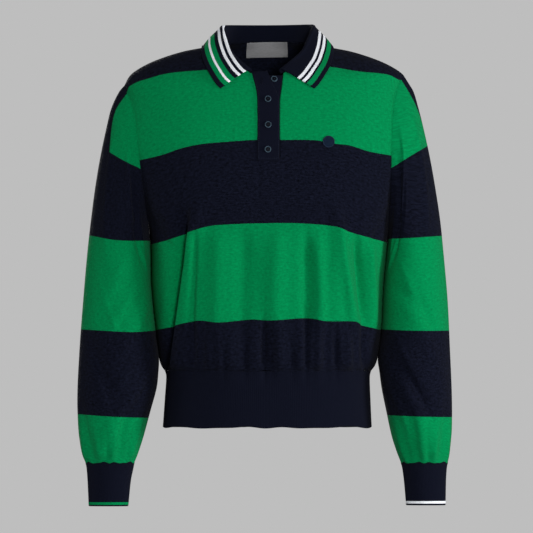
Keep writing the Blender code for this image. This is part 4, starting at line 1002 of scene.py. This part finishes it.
def clear_of_panels(points):
    """Moves points of the collar's fall out until they lie on the shoulders and panels."""
    for _ in range(SETTLING):
        for face in (FRONT, BACK):
            top = shoulder_height(abs(points[..., 0]))
            near = (points[..., 2] - COLLAR_REST <= top) & ((points[..., 1] < 0) == (face == FRONT))
            on_form, way = panel_point(face, points[..., 0], np.minimum(points[..., 2], top - REST_TOP))
            short = COLLAR_REST - ((points - on_form) * way).sum(axis=-1)
            points = points + way * (np.maximum(short, 0.0) * near)[..., None]
    return points


def neck_seam(turn):
    """Where the middle of the collar's cloth stands on the neck edge, at degrees from the centre back."""
    x = NECK_ACROSS * np.sin(np.radians(turn))
    on_back = form_point(BACK, x, smooth(NECK_EDGE[BACK], x))
    on_front = form_point(FRONT, x, smooth(NECK_EDGE[FRONT], x))
    edge = np.where((turn < 90.0)[..., None], on_back, on_front)
    return edge - flattened(edge, 2) * CLOTH / 2 + np.array((0.0, 0.0, COLLAR_GAP))


def collar_half(side):
    """Middle of the collar's cloth, rows from the neck seam over the fold to the outer edge."""
    share = np.linspace(0, 1, COLLAR_STEPS + 1)
    table = [(i / (len(COLLAR[side]) - 1), *row) for i, row in enumerate(COLLAR[side])]
    turn, *places = (smooth(table, share, column) for column in range(1, 8))
    base, fold, edge = neck_seam(turn), np.stack(places[:3], axis=-1), np.stack(places[3:], axis=-1)
    up = np.array((0.0, 0.0, 1.0))
    away = flattened(edge - fold, 2)
    stand_top = fold - up * COLLAR_BEND
    rows = [between(base, stand_top, step) for step in np.linspace(0, 1, STAND_ROWS)]
    for degrees in np.linspace(0, 180, BEND_ROWS)[1:-1]:
        bend = math.radians(degrees)
        point = stand_top + (away * (1 - math.cos(bend)) + up * math.sin(bend)) * COLLAR_BEND
        rows.append(clear_of_panels(point) if degrees > REST_FROM else point)
    fall_top = stand_top + away * 2 * COLLAR_BEND
    start, end = COLLAR_FLAT
    bulge = (COLLAR_BULGE * (1 - eased((share - start) / (end - start))))[:, None]
    tip_start, tip_low, tip_deep = TIP_ROUND
    for step in np.linspace(FALL_START, 1, FALL_ROWS):
        row = between(fall_top, edge, step) + away * bulge * math.sin(math.pi * step)
        corner = np.clip((share - tip_start) / (1 - tip_start), 0, 1)
        corner = corner * max((step - tip_low) / (1 - tip_low), 0.0)
        inside = between(fall_top[-1], edge[-1], tip_low)
        row = between(row, inside, (tip_deep * corner**2)[:, None])
        rows.append(clear_of_panels(row))
    return np.stack(rows) * np.array((side, 1.0, 1.0))


middle = np.concatenate((collar_half(LEFT)[:, :0:-1], collar_half(RIGHT)), axis=1)
ways = grid_ways(middle)
outer = middle + ways * COLLAR_CLOTH / 2
from_edge = lengths_along(outer[::-1], 0)[::-1]
along_collar = lengths_along(outer, 1)[-1:] + 0.0 * from_edge
along_collar = along_collar - along_collar[:, COLLAR_STEPS - 1 : COLLAR_STEPS]  # from the centre back
piece = shell("collar_knit", outer, ways, COLLAR_CLOTH, along_collar, from_edge)

collar_knit, tree = new_tree("collar_knit")
place, across, along = knit_wires(tree)
knit_edge = waves(across, COLLAR_WALE) * (COLLAR_LOOPS * MM)
shown = {"navy": NAVY, "green": GREEN, "white": WHITE}
stripes = {}
for side in (LEFT, RIGHT):
    starts = [0.0] + [end / STRIPES_DEEP for end, _ in COLLAR_STRIPES[side][:-1]]
    stops = [(start, shown[colour]) for start, (_, colour) in zip(starts, COLLAR_STRIPES[side])]
    ramp = {"interpolation": "CONSTANT", "stops": stops}
    how_deep = {"Fac": (along + knit_edge) * (1.0 / (STRIPES_DEEP * MM))}
    stripes[side] = Wire.node(tree, "ShaderNodeValToRGB", ramp, how_deep)
on_right = across.math("GREATER_THAN", 0.0)
striped = colour_mix(tree, on_right, stripes[LEFT], stripes[RIGHT])
striped = shade(tree, striped, mottle(tree, place, 2.0), 0.08)
knit_finish(striped, stitches(across, along, COLLAR_WALE, COLLAR_COURSE), tree)
piece.data.materials.append(collar_knit)
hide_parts("collar")
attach(piece, "root")

# The placket: two navy bands of firm knit. The lower fills the front's cut-out on the viewer's right, the
# upper lies over it and is sewn down all round, except that its top turns open with the collar.
STRIP, LAID_GAP = 1.6, 0.4  # the bands' thickness, and from a piece to one that lies on it
FIRM_WALE, FIRM_COURSE = 1.1, 0.9
BAND_ROWS, BAND_COLUMNS = 70, 17
OVER_EDGE = {
    LEFT: ((-175.6, -15), (-83, -15), (-64, -17), (-38.5, -24)),  # height, x
    RIGHT: ((-175.6, 19.4), (-88, 19.4), (-77, 18), (-58, 9), (-38.5, 0)),
}
OVER_LIFT = ((-175.6, 0), (-90, 0), (-60, 1.5), (-38.5, 3))  # height, lift of the free edge
NO_LIFT = ((-180, 0), (-30, 0))
UNDER_EDGE = {
    LEFT: ((-172, -9), (-42.8, -9)),
    RIGHT: tuple((height, x - LAID_GAP) for height, x in NOTCH_EDGE[RIGHT]),
}

navy_knit, tree = new_tree("navy_knit")
place, across, along = knit_wires(tree)
firm = shade(tree, NAVY, mottle(tree, place, 2.5), 0.1)
knit_finish(firm, stitches(across, along, FIRM_WALE, FIRM_COURSE), tree)


def placket_band(name, node, edges, low, lift=NO_LIFT):
    """A band that follows the front's face. Its inner face stands low out from it."""
    bottom, top = max(edges[LEFT][0][0], edges[RIGHT][0][0]), min(edges[LEFT][-1][0], edges[RIGHT][-1][0])
    height = np.linspace(bottom, top, BAND_ROWS)[:, None]
    share = np.linspace(0, 1, BAND_COLUMNS)[None, :]
    x = between(smooth(edges[LEFT], height), smooth(edges[RIGHT], height), share)
    out = low + STRIP + smooth(lift, height) * share
    points, ways = panel_point(FRONT, x, height + 0.0 * share, out)
    piece = shell(name, points, ways, STRIP, x, height + 0.0 * share)
    piece.data.materials.append(navy_knit)
    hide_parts(node)
    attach(piece, "root")


placket_band("placket_under_knit", "placket_under", UNDER_EDGE, -STRIP)
placket_band("placket_over_knit", "placket_over", OVER_EDGE, LAID_GAP, OVER_LIFT)

# The sewing of the placket: rows of navy stitches along both edges and above the foot of the upper band, and
# a corded buttonhole near its open top.
STITCH, STITCH_GAP, STITCH_HALF = 2.0, 0.9, 0.22
STITCH_IN, STITCH_DOWN = 2.2, 1.5  # from the band's edge, and from its top, to the row of stitches
STITCH_PROUD = 0.05
SEWN_POINTS = 30
FOOT_HEIGHT = -171.5
SEWN_TOP = -70.0  # above this the free edge turns open and is not sewn
BUTTONHOLE = (-7.5, -52.0, 5.2, 1.0)  # x, height, half length, half width
BUTTONHOLE_POINTS = 40
HOLE_LIFT = 0.6  # how much of the free edge's lift the cloth has at the buttonhole
THREAD = (0.018, 0.023, 0.040, 1.0)

thread, tree = new_tree("sewing_thread")
place, across, along = knit_wires(tree)
knit_finish(THREAD, mottle(tree, place, 0.4), tree)

bpy.ops.object.select_all(action="DESELECT")
bpy.ops.mesh.primitive_uv_sphere_add(segments=8, ring_count=6, radius=1.0)
one_stitch = bpy.context.object
bpy.ops.object.mode_set(mode="EDIT")
stitch_shape = (STITCH / 2 * MM, STITCH_HALF * MM, STITCH_HALF * MM)
bpy.ops.transform.resize(value=stitch_shape, center_override=(0, 0, 0))
bpy.ops.object.mode_set(mode="OBJECT")
bpy.ops.object.shade_smooth()
one_stitch.data.materials.append(thread)


def joined_piece(name, meshes):
    """One piece made of several meshes."""
    bpy.ops.object.select_all(action="DESELECT")
    copies = [placed(name, mesh) for mesh in meshes]
    for copy in copies:
        copy.select_set(True)
    bpy.context.view_layer.objects.active = copies[0]
    bpy.ops.object.join()
    copies[0].name = name
    return copies[0]


def stitch_rows(name, lines, out):
    """Copies of the stitch along lines of (x, height) on the front, joined into one piece."""
    meshes = []
    for line in lines:
        line = np.array(line, float)
        length = lengths_along(line, 0)
        at = np.arange(STITCH / 2, length[-1], STITCH + STITCH_GAP)
        x, height = (np.interp(at, length, line[:, axis]) for axis in (0, 1))
        points, ways = panel_point(FRONT, x, height, out)
        ahead = unit(np.gradient(points, axis=0))
        for point, way, along_line in zip(points, ways, ahead):
            turn = Matrix((along_line, np.cross(way, along_line), way)).transposed().to_4x4()
            mesh = one_stitch.data.copy()
            mesh.transform(Matrix.Translation(point * MM) @ turn)
            meshes.append(mesh)
    return joined_piece(name, meshes)


over_face = LAID_GAP + STRIP
sewn = np.linspace(FOOT_HEIGHT, SEWN_TOP, SEWN_POINTS)
free_row = [(smooth(OVER_EDGE[RIGHT], height) - STITCH_IN, height) for height in sewn]
sewn = np.linspace(FOOT_HEIGHT, OVER_EDGE[LEFT][-1][0] - STITCH_DOWN, SEWN_POINTS)
fixed_row = [(smooth(OVER_EDGE[LEFT], height) + STITCH_IN, height) for height in sewn]
foot_row = [fixed_row[0], free_row[0]]
sewing = stitch_rows("placket_stitches", (free_row, fixed_row, foot_row), over_face + STITCH_PROUD)
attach(sewing, "root")

x_hole, height_hole, half_long, half_wide = BUTTONHOLE
turn = np.linspace(0, 2 * np.pi, BUTTONHOLE_POINTS, endpoint=False)
x, height = x_hole + half_wide * np.cos(turn), height_hole + half_long * np.sin(turn)
lift = smooth(OVER_LIFT, height_hole) * HOLE_LIFT
oval, oval_ways = panel_point(FRONT, x, height, over_face + lift)
seam_line("buttonhole", oval, oval_ways, closed=True, half_width=0.6, rise=0.35)

# The buttons: four turned navy buttons of satin plastic with a raised rim, a dished middle and four holes,
# each sewn on with crossed thread. The rim's lighter colour is a painted highlight. The top one is
# unfastened, on the under band, and tilts.
BUTTONS = (  # number, x, height, outward distance of its back, in degrees its tilt sideways
    (1, 11, -49.5, 0.6, 8), (2, 1.5, -80.5, 2.6, 0), (3, 1.8, -120, 2.6, 0), (4, 1.4, -158, 2.6, 0),
)
BUTTON_RADIUS, BUTTON_TALL, BUTTON_ROUND = 5.0, 2.2, 0.5
RIM_WIDE, RIM_SLOPE, DISH = 0.9, 0.7, 0.7
# the colour turns lighter towards the rim: a painted highlight on the raised rim
RIM_HIGHLIGHT_SHARES = 0.70, 0.80  # shares of the radius over which the colour changes to the rim's
HOLE_RADIUS, HOLE_OFF, HOLE_DEEP = 0.55, 1.0, 6.0
THREAD_SHAPE, THREAD_RISE = (1.7, 1.3, 1.3, 1.0), 0.1  # of a stitch, and over the dished middle
# the second colour is the rim's painted highlight, lighter than the navy middle
BUTTON_NAVY, BUTTON_RIM_HIGHLIGHT = (0.002, 0.003, 0.006), (0.036, 0.060, 0.082)

button_plastic, tree = new_tree("button")
from_middle = Wire.node(tree, "ShaderNodeUVMap", {"uv_map": "button"})
radius = Wire.node(tree, "ShaderNodeVectorMath", {"operation": "LENGTH"}, {0: from_middle}, output=1)
streaks = Wire.node(tree, "ShaderNodeTexNoise", None, {"Vector": from_middle, "Scale": 5.0, "Detail": 3.0})
# painted highlight: the base colour goes from the navy middle to the lighter rim
rim_highlight_ends = {"Value": radius, "From Min": RIM_HIGHLIGHT_SHARES[0], "From Max": RIM_HIGHLIGHT_SHARES[1]}
on_rim_highlight = Wire.node(tree, "ShaderNodeMapRange", None, rim_highlight_ends)
plastic = shade(tree, colour_mix(tree, on_rim_highlight, BUTTON_NAVY, BUTTON_RIM_HIGHLIGHT), streaks, 0.25)
bump = bump_wire(tree, streaks, 0.15, 0.1)
surface_end(tree, {"Base Color": plastic, "Roughness": 0.5, "Specular IOR Level": 0.04, "Normal": bump})


def take_faces(piece, wanted):
    """Selects, in edit mode, the faces of a piece that a test of their middle and way out picks."""
    bpy.ops.object.mode_set(mode="OBJECT")
    for kind in (piece.data.vertices, piece.data.edges, piece.data.polygons):
        kind.foreach_set("select", [False] * len(kind))
    for face in piece.data.polygons:
        face.select = wanted(face)
    bpy.ops.object.mode_set(mode="EDIT")
    bpy.ops.mesh.select_mode(type="FACE")


bpy.ops.object.select_all(action="DESELECT")
bpy.ops.mesh.primitive_cylinder_add(vertices=40, radius=BUTTON_RADIUS * MM, depth=BUTTON_TALL * MM)
one_button = bpy.context.object
one_button.data.transform(Matrix.Translation((0.0, 0.0, BUTTON_TALL / 2 * MM)))
take_faces(one_button, lambda face: abs(face.normal.z) > 0.9)
bpy.ops.mesh.bevel(offset=BUTTON_ROUND * MM, segments=3, affect="EDGES")
take_faces(one_button, lambda face: face.normal.z > 0.99)
bpy.ops.mesh.inset(thickness=(RIM_WIDE - BUTTON_ROUND) * MM)
bpy.ops.mesh.inset(thickness=RIM_SLOPE * MM, depth=-DISH * MM)
bpy.ops.object.mode_set(mode="OBJECT")
for across, up in ((-1, -1), (-1, 1), (1, -1), (1, 1)):
    bpy.ops.object.select_all(action="DESELECT")
    middle = (across * HOLE_OFF * MM, up * HOLE_OFF * MM, BUTTON_TALL / 2 * MM)
    hole = {"radius": HOLE_RADIUS * MM, "depth": HOLE_DEEP * MM, "location": middle}
    bpy.ops.mesh.primitive_cylinder_add(vertices=16, **hole)
    drill = bpy.context.object
    bpy.context.view_layer.objects.active = one_button
    cut_hole = one_button.modifiers.new("hole", "BOOLEAN")
    cut_hole.operation, cut_hole.object = "DIFFERENCE", drill
    bpy.ops.object.modifier_apply(modifier="hole")
    bpy.data.objects.remove(drill)
one_button.data.materials.append(button_plastic)
bpy.ops.object.select_all(action="DESELECT")
one_button.select_set(True)
bpy.context.view_layer.objects.active = one_button
bpy.ops.object.shade_smooth_by_angle(angle=math.radians(35.0))
spots = []
for corner in one_button.data.loops:
    place_on_button = one_button.data.vertices[corner.vertex_index].co / (BUTTON_RADIUS * MM)
    spots.extend(place_on_button[:2])
for layer in list(one_button.data.uv_layers):
    one_button.data.uv_layers.remove(layer)
one_button.data.uv_layers.new(name="button").data.foreach_set("uv", spots)

for number, x, height, out, tilt in BUTTONS:
    point, way = panel_point(FRONT, np.array(x), np.array(height), out)
    lean = Vector(way) + Vector((math.radians(tilt), 0.0, 0.0))
    turn = Vector((0.0, 0.0, 1.0)).rotation_difference(lean).to_matrix().to_4x4()
    stand = Matrix.Translation(point * MM) @ turn
    mesh = one_button.data.copy()
    mesh.transform(stand)
    piece = placed(f"button_{number}_turned", mesh)
    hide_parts(f"button_{number}")
    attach(piece, "root")
    crossed = []
    for lean_degrees in (45.0, -45.0):
        mesh = one_stitch.data.copy()
        mesh.transform(Matrix.Diagonal(THREAD_SHAPE))
        mesh.transform(Matrix.Rotation(math.radians(lean_degrees), 4, "Z"))
        mesh.transform(Matrix.Translation((0.0, 0.0, (BUTTON_TALL - DISH + THREAD_RISE) * MM)))
        mesh.transform(stand)
        crossed.append(mesh)
    piece = joined_piece(f"button_{number}_thread", crossed)
    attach(piece, "root")
bpy.data.objects.remove(one_button)

# The chest badge: a round patch of close navy satin stitch, plain, with a corded rim. It is sewn to the front
# over the lower edge of the upper green band.
BADGE = (95.0, -146.0)  # x, height
BADGE_RADIUS, BADGE_THICK, BADGE_RINGS, BADGE_SIDES = 9.3, 1.0, 34, 96
CORD_AT, CORD_HALF, CORD_RISE, CORD_OUTER = 8.5, 0.7, 0.45, 0.3
DOME_RADIUS, DOME_RISE = 8.0, 0.25
PIN_RING, FIRST_RING = 0.02, 0.6  # radii of the two innermost rings
CORD_PITCH, FILL_PITCH = 0.55, 0.6  # between its threads
BADGE_NAVY, BADGE_RIM = (0.006, 0.012, 0.026), (0.012, 0.02, 0.04)

badge_stitch, tree = new_tree("badge")
place, across, along = knit_wires(tree)
cord = along.math("GREATER_THAN", (CORD_AT - CORD_HALF) * MM)
fill_threads, cord_threads = waves(along, FILL_PITCH), waves(across, CORD_PITCH)
threads = Wire.node(tree, "ShaderNodeMix", None, {0: cord, 2: fill_threads, 3: cord_threads})
thread_colour = colour_mix(tree, cord, BADGE_NAVY, BADGE_RIM)
knit_finish(shade(tree, thread_colour, mottle(tree, place, 1.0), 0.2), threads, tree)

ring = np.concatenate(([PIN_RING], np.linspace(FIRST_RING, BADGE_RADIUS, BADGE_RINGS)))[:, None]
turn = -np.linspace(0, 2 * np.pi, BADGE_SIDES, endpoint=False)[None, :]
raised = BADGE_THICK + CORD_RISE * np.exp(-(((ring - CORD_AT) / CORD_HALF) ** 2))
raised = raised + DOME_RISE * (1 - (ring / DOME_RADIUS) ** 2)
raised = np.where(ring > CORD_AT + CORD_OUTER, np.minimum(raised, BADGE_THICK), raised) + LAID_GAP
x, height = BADGE[0] + ring * np.cos(turn), BADGE[1] + ring * np.sin(turn)
points, ways = panel_point(FRONT, x, height, raised + 0.0 * turn)
across = np.linspace(0, 2 * np.pi, BADGE_SIDES + 1)[None, :] * BADGE_RADIUS + 0.0 * ring
piece = shell("chest_badge_patch", points, ways, BADGE_THICK, across, ring + 0.0 * across, wrap=True)
piece.data.materials.append(badge_stitch)
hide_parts("chest_badge")
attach(piece, "root")

# The neck label: a blank grey satin-woven tape, its short ends folded under and sewn to the inside of the
# back just below the neck seam.
LABEL_HALF, LABEL_LOW, LABEL_TOP = 32.4, -12.8, 10.1
LABEL_THICK, LABEL_CLEAR, LABEL_SLOPE = 0.7, 0.5, math.tan(math.radians(1.2)) / 2
LABEL_ROWS, LABEL_COLUMNS = 25, 61
FOLDED_IN, FOLD_SLOPE, FOLDED_RISE = 5.0, 1.2, 0.35  # the short ends' double cloth
WARP_PITCH, WEFT_PITCH = 0.5, 0.4
LABEL_GREY = (0.22, 0.22, 0.23)

woven_grey, tree = new_tree("label")
place, across, along = knit_wires(tree)
grey = shade(tree, LABEL_GREY, mottle(tree, place, 0.8, flat=8.0), 0.12)
bump = bump_wire(tree, waves(across, WARP_PITCH) * waves(along, WEFT_PITCH), 0.4, 0.08)
surface_end(tree, {"Base Color": grey, "Roughness": 0.55, "Normal": bump})

x = np.linspace(-LABEL_HALF, LABEL_HALF, LABEL_COLUMNS)[None, :]
height = np.linspace(LABEL_LOW, LABEL_TOP, LABEL_ROWS)[:, None] + x * LABEL_SLOPE
folded_end = FOLDED_RISE * eased((abs(x) - LABEL_HALF + FOLDED_IN) / FOLD_SLOPE)
points, ways = panel_point(BACK, x + 0.0 * height, height, -(CLOTH + LABEL_CLEAR + LABEL_THICK + folded_end))
piece = shell("neck_label_woven", points, -ways, LABEL_THICK, x + 0.0 * height, height)
piece.data.materials.append(woven_grey)
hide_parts("neck_label")
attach(piece, "root")
bpy.data.objects.remove(one_stitch)

# The studio, in metres: a far plain grey backdrop, a pale floor below, a dim even light, a key light at the
# front, one at the viewer's right that shapes the folds, one behind, and weaker ones at the left and above.
# The camera looks straight at the front from far away.
GROUND, PALE = 0.515, 0.6
ROOM_LIGHT = 0.12
BACKDROP_RADIUS, FLOOR_RADIUS, FLOOR_HEIGHT = 80.0, 1.4, -0.80
world = bpy.data.worlds.new("studio")
world.use_nodes = True
world.node_tree.nodes["Background"].inputs["Color"].default_value = (1.0, 1.0, 1.0, 1.0)
world.node_tree.nodes["Background"].inputs["Strength"].default_value = ROOM_LIGHT
bpy.context.scene.world = world

bpy.ops.mesh.primitive_uv_sphere_add(segments=48, ring_count=24, radius=BACKDROP_RADIUS)
backdrop = bpy.context.object
backdrop.name = "backdrop"
material, tree = new_tree("backdrop")
glow = {"Color": (GROUND, GROUND, GROUND, 1.0), "Strength": 1.0}
surface_end(tree, glow, "ShaderNodeEmission")
backdrop.data.materials.append(material)
backdrop.visible_diffuse = backdrop.visible_glossy = backdrop.visible_shadow = False
backdrop.visible_transmission = backdrop.visible_volume_scatter = False

bpy.ops.mesh.primitive_circle_add(vertices=96, radius=FLOOR_RADIUS, fill_type="NGON")
floor = bpy.context.object
floor.name = "floor"
floor.data.transform(Matrix.Translation((0.0, 0.0, FLOOR_HEIGHT)))
material, tree = new_tree("floor")
surface_end(tree, {"Base Color": (PALE, PALE, PALE, 1.0), "Roughness": 0.9})
floor.data.materials.append(material)

AIM = Vector((0.0, 0.0, -0.35))
for name, place, size, power in (  # place, width, watts
    ("key_light", (0.65, -4.2, 0.2), 0.9, 128.0),
    ("right_light", (3.3, -1.4, -0.2), 0.9, 112.0),
    ("left_light", (-3.3, -0.2, 0.1), 0.9, 30.0),
    ("top_light", (0.1, -0.9, 2.6), 1.0, 14.0),
    ("back_light", (-1.4, 4.0, 0.9), 1.2, 110.0),
):
    lamp = bpy.data.lights.new(name, "AREA")
    lamp.shape = "DISK"
    lamp.size = size
    lamp.energy = power
    light = placed(name, lamp)
    light.location = place
    light.rotation_euler = (AIM - light.location).to_track_quat("-Z", "Y").to_euler()

SENSOR = 36.0  # millimetres
DISTANCE = 30.0
FRAME_MIDDLE, FRAME_WIDTH = (-0.0008, -0.3387), 0.8262  # x and height, and the view's width at the sweater
camera_data = bpy.data.cameras.new("camera")
camera_data.sensor_width = SENSOR
camera_data.lens = SENSOR * DISTANCE / FRAME_WIDTH
camera_data.clip_end = 200.0
camera = placed("camera", camera_data)
camera.location = (FRAME_MIDDLE[0], -DISTANCE, FRAME_MIDDLE[1])
camera.rotation_euler = (math.radians(90.0), 0.0, 0.0)
bpy.context.scene.camera = camera
bpy.context.scene.view_settings.view_transform = "Standard"
